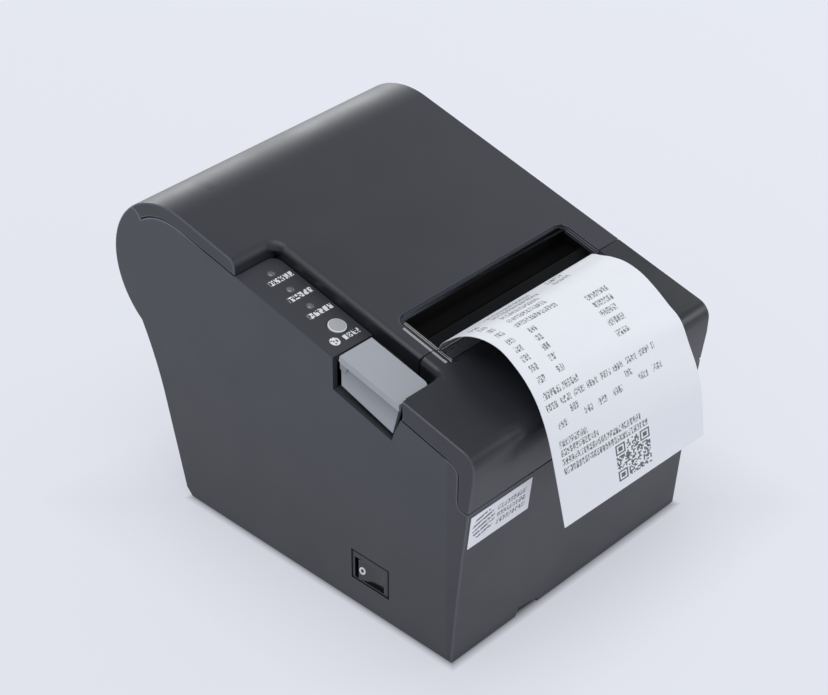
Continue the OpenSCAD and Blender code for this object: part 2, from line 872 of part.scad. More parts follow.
module mech_frame() {
    color("#a9adb2") {
        mech_plate(plate_x[0]);
        mech_plate(plate_x[1]);
        block([plate_x[0] + plate_t - eps, -50, 40], [plate_x[1] + eps, -42, 41.4]);
        for (s = [0, 1])
            block([plate_x[s] + (s == 0 ? plate_t - eps : -5), -51, plate_z1],
                [plate_x[s] + (s == 0 ? plate_t + 5 : eps), -39, plate_z1 + 1.2]);
    }
}

head_x0 = -31.8;
head_x1 = 50;

module print_head() {
    color("#d9d4c4")
        nip_block(head_x0, head_x1, -9, 6, 0.2, 1.2);
    color("#23262b")
        bar(at_nip(0, 0.24), 0.1, head_x0 + 1, head_x1 - 1);
}

module head_heatsink() {
    fins = 11;
    pitch = (head_x1 - head_x0 - 4) / fins;
    color("#8e9399") {
        nip_block(head_x0, head_x1, -9.5, 6.5, 1.2, 3.6);
        for (i = [0:fins])
            nip_block(head_x0 + 1 + i * pitch, head_x0 + 2.6 + i * pitch, -9.5, 6.5, 3.6 - eps, 7);
    }
}

// Coil springs drawn as closed bellows round their own line of thrust
module head_springs() {
    coils = 6;
    spring_l = 8.6;
    color("silver")
        for (x = [-8, 27])
            translate([x, at_nip(-1.5, 7).x, at_nip(-1.5, 7).y])
                rotate([120, 0, 0])
                    rotate_extrude($fn = 40)
                        polygon(concat([for (i = [0:2 * coils])
                            [2.6 + (i % 2) * 0.7, spring_l * i / (2 * coils)]],
                            [for (i = [2 * coils:-1:0])
                            [1.9 + (i % 2) * 0.7, spring_l * i / (2 * coils)]]));
}

module head_bridge() {
    color("#9b9fa5")
        nip_block(plate_x[0] + plate_t, plate_x[1], -5.5, 3, 15.6, 17);
}

module head_cable() {
    color("#e6e2d6")
        slab(-6, 14)
            polygon(ribbon(concat([at_nip(-9.8, 1)],
                bez(at_nip(-12, 2), [-30, 70], [-52.6, 62], 5),
                bez([-54.4, 56], [-55, 30], [-47, 15.8], 6), [[-47, 14.8]]), 0.3));
}

module stepper_motor() {
    can_l = 19;
    color("#8c9096")
        difference() {
            union() {
                bar(motor_c, motor_d / 2, plate_x[0] + plate_t, plate_x[0] + plate_t + can_l);
                bar(motor_c, 5, plate_x[0] - 0.4, plate_x[0] + plate_t + eps);
            }
            bar(motor_c, 1.6, plate_x[0] - 2, plate_x[0] + can_l - 2);
        }
}

module idler_stud() {
    color("silver") {
        bar(idler_c, 1.5, gear_x0 - 0.8, plate_x[0]);
        bar(idler_c, 2.6, gear_x0 - 1.4, gear_x0 - 0.4);
        bar(idler_c, 2.6, gear_x0 + gear_t + 0.3, plate_x[0]);
    }
}

// Gear outline with straight-flanked teeth, the first tooth centred on angle 0
function gear_pts(teeth) = let (
        pitch = 360 / teeth,
        root = gear_mod * (teeth / 2 - 1.2),
        tip = gear_mod * (teeth / 2 + 0.9)
    ) [for (i = [0:teeth - 1]) for (k = [[-0.31, root], [-0.14, tip], [0.14, tip], [0.31, root]])
        arc_pt([0, 0], k[1], (i + k[0]) * pitch)];

module gear(c, teeth, phase, bore, x0, t) {
    slab(x0, x0 + t)
        difference() {
            translate(c)
                rotate([0, 0, phase])
                    polygon(gear_pts(teeth));
            translate(c)
                circle(r = bore);
        }
}

module platen_roller() {
    color("#26282b")
        difference() {
            bar(platen_c, platen_r, platen_x0, platen_x1);
            bar(platen_c, platen_shaft_r, platen_x0 - 1, platen_x1 + 1);
        }
}

module platen_shaft() {
    color("silver")
        bar(platen_c, platen_shaft_r, gear_x0 - 0.8, hook_x[1] + 2.4);
}

module platen_gear() {
    color("#e4e1d8")
        gear(platen_c, platen_teeth, idler_dir, platen_shaft_r, gear_x0, gear_t);
}

module platen_bushes() {
    color("#caa24a")
        for (x = arm_x)
            difference() {
                bar(platen_c, bush_r, x - 0.1, x + arm_t + 0.1);
                bar(platen_c, platen_shaft_r + running_gap, x - 1, x + arm_t + 1);
            }
}

module idler_gear() {
    color("#e4e1d8")
        gear(idler_c, idler_teeth, idler_phase, 1.5 + running_gap, gear_x0, gear_t);
}

module motor_pinion() {
    color("#c9a85a") {
        gear(motor_c, pinion_teeth, pinion_phase, 1, gear_x0, gear_t);
        bar(motor_c, 1 + eps, gear_x0 - 0.6, plate_x[0] + plate_t + 10);
    }
}

// ---------------------------------------------------------------- latch and lever

module latch_shaft() {
    arm_x0 = link_x + 0.2;
    color("silver") {
        bar(latch_c, latch_r, arm_x0, hook_x[1] + hook_t + 1);
        difference() {
            slab(arm_x0, arm_x0 + 2)
                polygon([latch_c + [-3, -3], latch_c + [-3, 2], latch_c + [4.6, 5.6],
                    latch_c + [6, 3.6], latch_c + [2, -3]]);
            bar(latch_c, latch_r - eps, arm_x0 - 1, arm_x0 + 3);
        }
    }
}

module latch_hooks() {
    color("#8f9398")
        for (x = hook_x)
            difference() {
                slab(x, x + hook_t)
                    polygon([latch_c + [-3.4, -3], latch_c + [-3.4, 3], [-38, 97],
                        [-34, 100.4], [-29.6, 100.2], [-31.6, 96.6], [-33.8, 94],
                        [-35.2, 90], latch_c + [3.6, -1.6], latch_c + [1, -3.4]]);
                bar(latch_c, latch_r, x - 1, x + hook_t + 1);
            }
}

module lever_top_outline() {
    corner_r = 3;
    translate([lever_x0, lever_y0])
        square([lever_x1 - lever_x0 - corner_r, lever_l]);
    translate([lever_x0, lever_y0 + corner_r])
        square([lever_x1 - lever_x0, lever_l - corner_r]);
    translate([lever_x1 - corner_r, lever_y0 + corner_r])
        circle(r = corner_r);
}

module release_lever() {
    top_t = 2.4;
    side_t = 1.8;
    color("#a4a6ac")
        difference() {
            union() {
                on_slope(0, 0, lever_drop)
                    translate([0, 0, -top_t])
                        linear_extrude(top_t)
                            lever_top_outline();
                slab(lever_x0 + 0.6, lever_x0 + 0.6 + side_t)
                    polygon([on_top(lever_rear, lever_drop + 1), [lever_rear, 94.2], [-44.3, 86.4],
                        on_top(lever_front + 0.2, lever_drop + 1)]);
                slab(lever_x0, lever_x0 + 1)
                    polygon([on_top(lever_rear, lever_drop + 0.1),
                        on_top(lever_rear, lever_drop + 5.2),
                        on_top(lever_rear - 2.6, lever_drop + 5.2),
                        on_top(lever_rear - 3.4, lever_drop + 2.8),
                        on_top(lever_front + 0.1, lever_drop + 2.8),
                        on_top(lever_front + 0.1, lever_drop + 0.1)]);
                for (x = lever_lug_x) {
                    bar(lever_pivot, 3.2, x, x + lever_lug_t);
                    slab(x, x + lever_lug_t)
                        polygon([lever_pivot + [-2.9, 1], on_top(-44.6, lever_drop + 1),
                            on_top(-24, lever_drop + 1), lever_pivot + [2.6, -1.6]]);
                }
                slab(link_x, link_x + link_t)
                    polygon([lever_pivot + [2.6, -1.6], [-34, 91], [-37, 84.6],
                        lever_pivot + [1.2, -3]]);
            }
            bar(lever_pivot, lever_pin_r + running_gap, pivot_post_x[0] - 0.3, pocket_x1);
        }
}

module lever_pin() {
    color("silver")
        bar(lever_pivot, lever_pin_r, pivot_post_x[0], pocket_x1);
}

// ---------------------------------------------------------------- cutter

module cutter_frame() {
    color("#a3a7ac") {
        difference() {
            union() {
                nip_block(arm_x[0] + arm_t + 0.5, arm_x[1] - 0.5, 7.9, 9.1, 0.6, 4);
                nip_block(plate_x[0] + plate_t, plate_x[1], 7.9, 9.1, 3.8, 23);
            }
            nip_block(cutter_x - 1, cutter_x + wheel_w + 1, 7, 10, 6.5, 16.5);
        }
        nip_block(plate_x[0] + plate_t, plate_x[1], 9.1 - eps, 12, 22, 23);
    }
}

module cutter_blade() {
    teeth = 26;
    pitch = (paper_w - 2) / teeth;
    edge = 1.4;
    color("#c8ccd1")
        translate([0, nip.x, nip.y])
            rotate([210, 0, 0])
                translate([0, 0, -blade_w[1]])
                    linear_extrude(blade_t)
                        polygon(concat([[paper_x0 + 1, blade_l]],
                            [for (i = [0:teeth - 1]) for (k = [0, 1])
                                [paper_x0 + 1 + (i + k / 2) * pitch, edge + k * 0.9]],
                            [[paper_x1 - 1, edge], [paper_x1 - 1, blade_l]]));
}

module cutter_wheel() {
    color("#e4e1d8")
        difference() {
            bar(cutter_c, cutter_wheel_r, cutter_x, cutter_x + wheel_w);
            bar(cutter_c, 0.8 + running_gap, cutter_x - 1, cutter_x + wheel_w + 1);
        }
}

module cutter_motor() {
    color("#7d8187") {
        bar(cutter_c, 0.8, cutter_x - 0.6, cutter_x + wheel_w + 1.2);
        bar(cutter_c, 2.6, cutter_x + wheel_w + 1, cutter_x + 20);
    }
}

// ---------------------------------------------------------------- lid

module lid_cover() {
    skirt_t = 1.6;
    skirt_drop = 6.8;
    color("#3a3c41")
        difference() {
            union() {
                difference() {
                    intersection() {
                        slab(-half_w, half_w)
                            body_outline(0);
                        slab(-half_w - 1, half_w + 1)
                            lid_zone();
                    }
                    slab(-inner_w, inner_w)
                        body_outline(wall);
                }
                slab(panel_x1 + seam, panel_x1 + seam + skirt_t)
                    polygon([on_top(lid_front_y + seam, 0.5),
                        on_top(lid_front_y + seam + lid_rake, skirt_drop),
                        on_top(panel_y1 + 2, skirt_drop), on_top(panel_y1 + 2, 0.5)]);
                slab(-inner_w, panel_x1 + seam + skirt_t)
                    polygon([on_top(panel_y1 + seam, 0.5), on_top(panel_y1 + seam, skirt_drop),
                        on_top(panel_y1 + seam + skirt_t, skirt_drop),
                        on_top(panel_y1 + seam + skirt_t, 0.5)]);
                slot_walls();
                for (s = [0, 1])
                    mirror([s, 0, 0])
                        lid_knuckle();
            }
            translate([0, 0, 80])
                linear_extrude(50)
                    rounded(-half_w - 10, lid_front_y - 10, panel_x1 + seam, panel_y1 + seam,
                        panel_corner_r);
            slot_rim();
            slab(slot_x0, slot_x1)
                polygon([on_top(lid_front_y - 1, 20), on_top(lid_front_y - 1, -5),
                    on_top(slot_y1, -5), on_top(slot_y1, 20)]);
            for (s = [0, 1])
                mirror([s, 0, 0])
                    bar(hinge, hinge_pin_r + running_gap, knuckle_x - 6, half_w + 1);
        }
}

module slot_walls() {
    slab(slot_x0 - 3.4, slot_x0)
        polygon([on_top(lid_front_y + seam, 0.5), on_top(lid_front_y + seam + lid_rake / 2, 4),
            on_top(-20.6, 4), on_top(-20.6, 0.5)]);
    slab(slot_x0 - slot_skirt, slot_x1 + slot_skirt)
        polygon([on_top(slot_y1 - 1, 0.5), on_top(slot_y1 - 1, slot_depth),
            on_top(slot_y1 + slot_skirt, slot_depth), on_top(slot_y1 + slot_skirt, 0.5)]);
    for (x = [slot_x0 - slot_skirt, slot_x1])
        slab(x, x + slot_skirt)
            polygon([on_top(lid_front_y + seam, 0.5),
                on_top(lid_front_y + seam + lid_rake, slot_depth - 2),
                on_top(slot_y1, slot_depth), on_top(slot_y1, 0.5)]);
}

module lid_knuckle() {
    web_end = crest_r - 0.4;
    slab(knuckle_x, knuckle_x + knuckle_w)
        union() {
            translate(hinge)
                circle(r = knuckle_r);
            polygon([arc_pt(hinge, knuckle_r, 200), arc_pt(hinge, knuckle_r, 85),
                arc_pt(crest_c, web_end, 51.5), arc_pt(crest_c, web_end, 64)]);
        }
}

module lid_frame() {
    top = wall + 0.3;
    color("#303236")
        difference() {
            union() {
                difference() {
                    slab(-38, 56)
                        polygon([on_top(-19.4, top), on_top(-19.4, top + lid_frame_t),
                            on_top(52, top + lid_frame_t), on_top(52, top)]);
                    for (x = [-28, 4, 36])
                        slab(x - 12, x + 12)
                            polygon([on_top(-12, -5), on_top(-12, 10), on_top(46, 10),
                                on_top(46, -5)]);
                }
                for (x = arm_x)
                    slab(x, x + arm_t)
                        polygon([on_top(-36, top + 4.5), on_top(-36, 12),
                            platen_c + [-4.6, -3], platen_c + [0, -5], platen_c + [4.6, -3],
                            on_top(-14, 10), on_top(-14, top), on_top(-19.4, top),
                            on_top(-21, top + 4.5)]);
            }
            for (x = arm_x)
                bar(platen_c, bush_r, x - 1, x + arm_t + 1);
        }
}

module tear_bar() {
    color("#b7bbc0")
        nip_block(slot_x0, slot_x1, 10.7, 11.9, -5, -0.7);
}

// Floor of the slot over the platen
module platen_guard() {
    color("#17181a")
        slab(slot_x0, slot_x1)
            polygon([[-29, 100.5], [-29, 101.5], [slot_y1, 101.5], [slot_y1, 100.5]]);
}

module hinge_pins() {
    color("silver")
        for (s = [0, 1])
            mirror([s, 0, 0])
                bar(hinge, hinge_pin_r, knuckle_x - 5, half_w - 1.2);
}

// ---------------------------------------------------------------- controls

module panel_board() {
    color("#1f6b3a")
        on_slope(0, 0, flange_h + panel_t + 6.5)
            translate([-59, panel_y0 + 4, 0])
                cube([13, panel_y1 - panel_y0 - 4, 1.2]);
    color("#202124")
        on_slope(button_x, button_y, flange_h + panel_t + 6.5)
            translate([-3, -3, 1.2 - eps])
                cube([6, 6, 2.4]);
}

module led_lenses() {
    color("#8b8f93")
        for (y = led_ys)
            on_slope(led_x, y, flange_h)
                union() {
                    translate([0, 0, -panel_t - 1.6])
                        cylinder(r = led_r, h = panel_t + 1.6);
                    intersection() {
                        translate([0, 0, -2.6])
                            sphere(r = 3);
                        cylinder(r = led_r, h = 1);
                    }
                }
}

module feed_button() {
    proud = 0.6;
    stem_l = 1.6;
    color("#a9abb0")
        on_slope(button_x, button_y, flange_h)
            union() {
                translate([0, 0, -panel_t])
                    cylinder(r = button_d / 2, h = panel_t + proud);
                translate([0, 0, -panel_t - 1])
                    cylinder(r = button_d / 2 + 1, h = 1);
                translate([0, 0, -panel_t - stem_l])
                    cylinder(r = 1.8, h = stem_l);
            }
}

module switch_bezel() {
    face_x = -half_w + 0.45;
    play = 0.12;
    shadow_gap = 0.9;
    open_w = 14.5;
    open_h = 9.4;
    color("#3b3d42")
        difference() {
            union() {
                block([face_x, switch_y - switch_w / 2 + shadow_gap,
                    switch_z - switch_h / 2 + play],
                    [face_x + 2, switch_y + switch_w / 2 - play,
                    switch_z + switch_h / 2 - shadow_gap]);
                block([face_x + 1.6, switch_y - 8.9, switch_z - 6.3],
                    [switch_x1, switch_y + 8.9, switch_z + 6.3]);
            }
            block([face_x - 1, rocker_y - open_w / 2, rocker_z - open_h / 2],
                [-46, rocker_y + open_w / 2, rocker_z + open_h / 2]);
            translate([rocker_pivot_x, rocker_y, rocker_z - open_h / 2 - 0.4])
                cylinder(r = 1, h = open_h + 0.8);
        }
    color("#c0a060")
        for (y = [-5, 0, 5])
            block([switch_x1 - eps, switch_y + y - 0.4, switch_z - 2],
                [switch_x1 + 4, switch_y + y + 0.4, switch_z + 2]);
}

module power_rocker() {
    reach = rocker_pivot_x + half_w;
    paddle_h = 4.5;
    color("#242528")
        translate([rocker_pivot_x, rocker_y, rocker_z])
            rotate([0, 0, rocker_tilt]) {
                translate([0, 0, -paddle_h])
                    linear_extrude(2 * paddle_h)
                        polygon([[-reach + 1.7, 0], [-reach + 0.95, 5.8], [-reach + 1.5, 6.3],
                            [-1.6, 5.6], [2, 2], [2, -2], [-1.6, -5.6], [-reach + 1.5, -6.3],
                            [-reach + 0.95, -5.8]]);
                translate([0, 0, -paddle_h - 0.4])
                    cylinder(r = 1 - running_gap, h = 2 * paddle_h + 0.8);
            }
}

module front_label() {
    label_w = 30.7;
    label_h = 14.4;
    label_t = 0.2;
    label_x = -45.4;
    label_z = 61.6;
    color("white")
        intersection() {
            slab(-half_w, 0)
                difference() {
                    body_outline(-label_t);
                    body_outline(0);
                }
            block([label_x - label_w / 2, -90, label_z - label_h / 2],
                  [label_x + label_w / 2, -60, label_z + label_h / 2]);
        }
}

case_shell();
front_cover();
bottom_plate();
rubber_feet();
case_screws();
io_bracket();
power_socket();
usb_socket();
lan_socket();
drawer_socket();
main_board();
board_parts();
roll_bucket();
paper_sensor();
mech_frame();
print_head();
head_heatsink();
head_springs();
head_bridge();
head_cable();
stepper_motor();
idler_stud();
cutter_frame();
cutter_motor();
hinge_pins();
lever_pin();
panel_board();
led_lenses();
switch_bezel();
front_label();
paper_web();
receipt();
lid_cover();
lid_frame();
tear_bar();
platen_guard();
platen_bushes();
platen_roller();
platen_shaft();
platen_gear();
idler_gear();
motor_pinion();
latch_shaft();
latch_hooks();
release_lever();
feed_button();
power_rocker();
paper_roll();
roll_core();
cutter_blade();
cutter_wheel();
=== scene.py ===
"""Looks of the receipt printer: finishes, softened edges, the printed slip and the studio."""

import json
import math

import bmesh
import bpy
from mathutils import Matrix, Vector

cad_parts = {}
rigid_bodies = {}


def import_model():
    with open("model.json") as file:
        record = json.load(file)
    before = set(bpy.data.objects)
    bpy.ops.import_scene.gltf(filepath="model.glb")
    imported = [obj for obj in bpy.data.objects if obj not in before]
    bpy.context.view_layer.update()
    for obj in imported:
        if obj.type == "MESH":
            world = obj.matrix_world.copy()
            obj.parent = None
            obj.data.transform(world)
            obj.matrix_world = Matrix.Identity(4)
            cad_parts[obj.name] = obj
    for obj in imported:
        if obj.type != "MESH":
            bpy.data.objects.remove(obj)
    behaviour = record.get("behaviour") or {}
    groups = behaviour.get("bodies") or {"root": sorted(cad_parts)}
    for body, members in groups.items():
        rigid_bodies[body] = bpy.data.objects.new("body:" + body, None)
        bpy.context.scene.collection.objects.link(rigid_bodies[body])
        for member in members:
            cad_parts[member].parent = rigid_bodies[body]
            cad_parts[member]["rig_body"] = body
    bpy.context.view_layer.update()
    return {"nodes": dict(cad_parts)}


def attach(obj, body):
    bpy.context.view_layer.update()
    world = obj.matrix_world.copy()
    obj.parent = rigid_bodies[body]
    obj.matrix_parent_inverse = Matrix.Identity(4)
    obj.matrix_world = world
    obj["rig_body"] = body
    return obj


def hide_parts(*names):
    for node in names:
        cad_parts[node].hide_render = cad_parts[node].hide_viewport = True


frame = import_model()
nodes = frame["nodes"]
MM = 0.001

# ------------------------------------------------------------------ shape of the case, in mm
# These repeat part.scad, which this script can't read.

TOP_Z = 114.0            # height of the sloping top at y = 0
SLOPE = 0.2354           # rise of the top for each mm towards the rear
WALL_X = -62.5           # outside of the left wall
PANEL_X = -43.05         # right side of the control panel
PANEL_Y = (-17.0, 31.15)
PANEL_DROP = 5.6         # depth of the panel under the top
LAMP_YS = (24.8, 15.2, 5.4)
SLOT_X = (-32.0, 50.2)
SLOT_Y = (-44.2, -21.6)
RIM_DROP = 2.1           # depth of the lowest step round the slot
# Left edges of the steps down to the slot: x, depth under the top, width and rear end of the
# painted highlight
STEPS = (
    (-36.4, 0.0, 1.1, -25.6), (-34.2, 0.8, 0.4, -23.4), (-32.9, 1.5, 0.35, -22.8),
    (-32.0, 2.2, 0.3, -22.4),
)
ROLL_C = (38.0, 75.4)    # y and z of the roll's axis
PAPER_X = (-30.7, 48.9)
PAPER_T = 0.2
COVER_REAR_Y = -48.0     # the front cover's end beside the lever
OUTER_X = -60.0                      # pieces at the left wall face outwards beyond this
FRAME_EDGE = (-41.2, 23.9)           # y and z past which the switch's frame gets painted shadow
SWITCH_Y = (-43.2, -22.8)            # the opening round the switch
SWITCH_Z = (11.0, 26.0)
RING_C = (-29.0, 17.2)               # y and z of the ring on the rocker
LABEL_C = (-45.4, 61.6)              # x and z of the label's middle
LABEL_ROWS = (3.5, 0.2, -3.0)        # heights of its rows of marks
LABEL_MARKS = (-1.8, 13.0)           # their span
LABEL_ROW_HALF = 1.1
DISC_C = (-8.4, 0.8)                 # its striped disc
DISC_R = 5.6
LAMP_MARK = ((-55.6, -44.7), (-5.1, -2.7))           # spans in x, and in y from the lamp
BUTTON_MARK = (-52.6, -45.4, -13.5, -11.3)
BUTTON_DOT = (-56.3, -11.9)
DOT_R = 1.9


def on_top(y, drop=0.0):
    """Height of the sloping top at y, lowered by drop."""
    return TOP_Z + SLOPE * y - drop


def vec(x, y, z):
    """A point given in mm, as a vector in metres."""
    return Vector((x * MM, y * MM, z * MM))


# ------------------------------------------------------------------ node building

LETTER_SHARE = 0.78      # of a pitch that a mark fills; the rest is the gap


class Tree:
    """A small helper that builds one material's node tree."""

    def __init__(self, name):
        self.mat = bpy.data.materials.new(name)
        self.mat.use_nodes = True
        self.nt = self.mat.node_tree
        self.nt.nodes.clear()
        self.out = self.node("ShaderNodeOutputMaterial")
        self.bsdf = self.node("ShaderNodeBsdfPrincipled")
        self.link(self.bsdf.outputs[0], self.out.inputs[0])
        self._co = None

    def node(self, kind, **props):
        """A new node with some properties set."""
        n = self.nt.nodes.new(kind)
        for k, v in props.items():
            setattr(n, k, v)
        return n

    def link(self, a, b):
        self.nt.links.new(a, b)

    def put(self, value, socket):
        """Links a socket, or sets a plain value."""
        if hasattr(value, "is_linked"):
            self.link(value, socket)
        else:
            socket.default_value = value

    def co(self):
        """Position on the piece in mm."""
        if self._co is None:
            tc = self.node("ShaderNodeTexCoord")
            scale = self.node("ShaderNodeVectorMath", operation="SCALE")
            scale.inputs[3].default_value = 1000.0
            self.link(tc.outputs["Object"], scale.inputs[0])
            self._co = scale.outputs[0]
        return self._co

    def xyz(self, vector=None):
        """The three parts of a vector, or of the position."""
        n = self.node("ShaderNodeSeparateXYZ")
        self.link(vector or self.co(), n.inputs[0])
        return n.outputs[0], n.outputs[1], n.outputs[2]

    def attribute(self, name):
        """A number stored in the mesh."""
        return self.node("ShaderNodeAttribute", attribute_name=name).outputs["Fac"]

    def stretch(self, vector, sx, sy, sz):
        """The vector with each axis scaled."""
        n = self.node("ShaderNodeVectorMath", operation="MULTIPLY")
        self.link(vector, n.inputs[0])
        n.inputs[1].default_value = (sx, sy, sz)
        return n.outputs[0]

    def reach(self, a, b, centre):
        """Distance of the point a, b from a centre."""
        da = self.math("SUBTRACT", a, centre[0])
        db = self.math("SUBTRACT", b, centre[1])
        return self.hypot(da, db)

    def hypot(self, a, b):
        """Length of the vector a, b."""
        squares = self.math("ADD", self.math("POWER", a, 2.0), self.math("POWER", b, 2.0))
        return self.math("SQRT", squares)

    def noise(self, size, detail=2.0, rough=0.5, vector=None):
        """Noise whose features are about size mm across."""
        n = self.node("ShaderNodeTexNoise")
        n.inputs["Scale"].default_value = 1.0 / size
        n.inputs["Detail"].default_value = detail
        n.inputs["Roughness"].default_value = rough
        self.link(vector or self.co(), n.inputs["Vector"])
        return n.outputs[0]

    def math(self, op, a, b=0.0, c=0.0):
        """One sum of values or sockets."""
        n = self.node("ShaderNodeMath", operation=op)
        self.put(a, n.inputs[0])
        self.put(b, n.inputs[1])
        self.put(c, n.inputs[2])
        return n.outputs[0]

    def remap(self, value, lo, hi, out_lo, out_hi):
        """lo..hi stretched to out_lo..out_hi, and held there beyond."""
        n = self.node("ShaderNodeMapRange")
        self.put(value, n.inputs[0])
        for i, v in enumerate((lo, hi, out_lo, out_hi)):
            n.inputs[i + 1].default_value = v
        return n.outputs[0]

    def mix(self, fac, a, b):
        """Colour a where fac is 0 and b where it is 1."""
        n = self.node("ShaderNodeMix", data_type="RGBA")
        self.put(fac, n.inputs[0])
        for value, socket in ((a, n.inputs[6]), (b, n.inputs[7])):
            if hasattr(value, "is_linked"):
                self.link(value, socket)
            else:
                socket.default_value = (*value, 1.0)
        return n.outputs[2]

    def inside(self, value, lo, hi):
        """1 where lo < value < hi."""
        return self.math(
            "MULTIPLY", self.math("GREATER_THAN", value, lo), self.math("LESS_THAN", value, hi)
        )

    def box(self, u, v, u0, u1, v0, v1):
        """1 inside a rectangle."""
        return self.math("MULTIPLY", self.inside(u, u0, u1), self.inside(v, v0, v1))

    def any(self, masks):
        """The union of masks."""
        total = masks[0]
        for m in masks[1:]:
            total = self.math("MAXIMUM", total, m)
        return total

    def drop(self):
        """Depth below the sloping top in mm."""
        _, y, z = self.xyz()
        return self.math("SUBTRACT", self.math("MULTIPLY_ADD", y, SLOPE, TOP_Z), z)

    def speckle(self, u, v, cell_u, cell_v, seed, density):
        """Random cells of cell_u by cell_v mm, filled to about density."""
        n = self.node("ShaderNodeTexWhiteNoise", noise_dimensions="3D")
        join = self.node("ShaderNodeCombineXYZ")
        self.link(self.math("FLOOR", self.math("DIVIDE", u, cell_u)), join.inputs[0])
        self.link(self.math("FLOOR", self.math("DIVIDE", v, cell_v)), join.inputs[1])
        join.inputs[2].default_value = seed
        self.link(join.outputs[0], n.inputs["Vector"])
        return self.math("LESS_THAN", n.outputs["Value"], density)

    def glyphs(self, u, v, pitch, stroke_u, stroke_v, density):
        """Rows of random marks with gaps between them, like print that can't be read."""
        place = self.math("FRACT", self.math("DIVIDE", u, pitch))
        letter = self.math("LESS_THAN", place, LETTER_SHARE)
        return self.math("MULTIPLY", self.speckle(u, v, stroke_u, stroke_v, 1.0, density), letter)

    def color(self, value):
        """Sets or links the base colour."""
        self.put(value, self.bsdf.inputs["Base Color"])

    def rough(self, value):
        """Sets or links the roughness."""
        self.put(value, self.bsdf.inputs["Roughness"])

    def metal(self):
        """Makes the finish metallic."""
        self.bsdf.inputs["Metallic"].default_value = 1.0

    def bump(self, height, depth, round_off=0.0):
        """Relief of depth mm from a 0..1 height, with corners eased over round_off mm."""
        n = self.node("ShaderNodeBump")
        n.inputs["Distance"].default_value = depth * MM
        self.link(height, n.inputs["Height"])
        if round_off:
            eased = self.node("ShaderNodeBevel", samples=4)
            eased.inputs["Radius"].default_value = round_off * MM
            self.link(eased.outputs[0], n.inputs["Normal"])
        self.link(n.outputs[0], self.bsdf.inputs["Normal"])


def shade(colour, k):
    """A colour made k times as bright."""
    return tuple(min(1.0, v * k) for v in colour)


def plastic(name, base, rough, grain=0.35, depth=0.012, vary=0.07, coat=0.0, gloss=0.5, ease=0.0,
            detail=None):
    """Moulded plastic: a spark-eroded grain, faint flow marks and edges polished by handling, whose
    colour is also lightened as a painted highlight.

    ease rounds the corners' shading, in mm. detail(tree, colour) may return a new colour, for
    marks and for painted shade and highlights."""
    t = Tree(name)
    flow = t.noise(38.0, 3.0, 0.55)
    speck = t.noise(0.5, 1.0)
    tone = t.math("MULTIPLY_ADD", speck, 0.25, t.math("MULTIPLY", flow, 0.75))
    colour = t.mix(tone, shade(base, 1.0 - vary), shade(base, 1.0 + vary))
    edge = t.attribute("edge")
    # Painted highlight, partly wear: faces rounded by the bevel (layer "edge") are lightened
    # fourfold.
    colour = t.mix(t.math("MULTIPLY", edge, 0.8), colour, shade(base, 4.0))
    if detail is not None:
        colour = detail(t, colour)
    t.color(colour)
    polish = t.noise(22.0, 2.0, 0.6)
    fine = t.noise(grain, 2.0, 0.6)
    dull = t.math("MULTIPLY_ADD", fine, 0.05, t.remap(polish, 0.3, 0.7, rough - 0.04, rough + 0.03))
    t.rough(t.math("MULTIPLY_ADD", edge, -0.14, dull))
    t.bump(fine, depth, ease)
    t.bsdf.inputs["Specular IOR Level"].default_value = gloss
    if coat:
        t.bsdf.inputs["Coat Weight"].default_value = coat
        t.bsdf.inputs["Coat Roughness"].default_value = 0.12
    return t.mat


def slot_painted_light(t, colour):
    """Lid and front cover: painted shade in the slot and on the steps at its left, and painted
    highlights along the steps' edges.

    The foot of the lid's edge along the panel gets painted shade too."""
    x, y, _ = t.xyz()
    drop = t.drop()
    plan = t.box(x, y, SLOT_X[0] - 0.5, SLOT_X[1] + 0.6, SLOT_Y[0] - 0.5, SLOT_Y[1] + 0.3)
    deep = t.math("MULTIPLY", plan, t.inside(drop, RIM_DROP, 30.0))
    treads = t.box(x, y, SLOT_X[0] - 4.6, SLOT_X[0], SLOT_Y[0] - 4.0, SLOT_Y[1] + 1.2)
    treads = t.math("MULTIPLY", treads, t.inside(drop, 0.3, 2.6))
    foot = t.box(x, drop, PANEL_X - 0.4, PANEL_X + 3.2, 0.5, 12.0)
    # Painted shade on the treads of the steps left of the slot.
    colour = t.mix(t.math("MULTIPLY", treads, 0.8), colour, (0.004, 0.004, 0.005))
    # Painted highlights: a light strip along the edge of each step.
    step_highlights = []
    for edge, level, wide, rear in STEPS:
        on_step = t.inside(drop, level - 0.25, level + 0.25)
        line = t.box(x, y, edge - wide, edge + 0.1, SLOT_Y[0] - 1.4, rear)
        step_highlights.append(t.math("MULTIPLY", on_step, line))
    colour = t.mix(t.math("MULTIPLY", t.any(step_highlights), 0.8), colour, (0.42, 0.425, 0.44))
    # Painted shade at the foot of the lid's edge along the panel.
    colour = t.mix(t.math("MULTIPLY", foot, 0.55), colour, (0.007, 0.0075, 0.009))
    # Painted shade: the slot's walls below the lowest step turn nearly black.
    return t.mix(deep, colour, (0.0022, 0.0022, 0.0025))


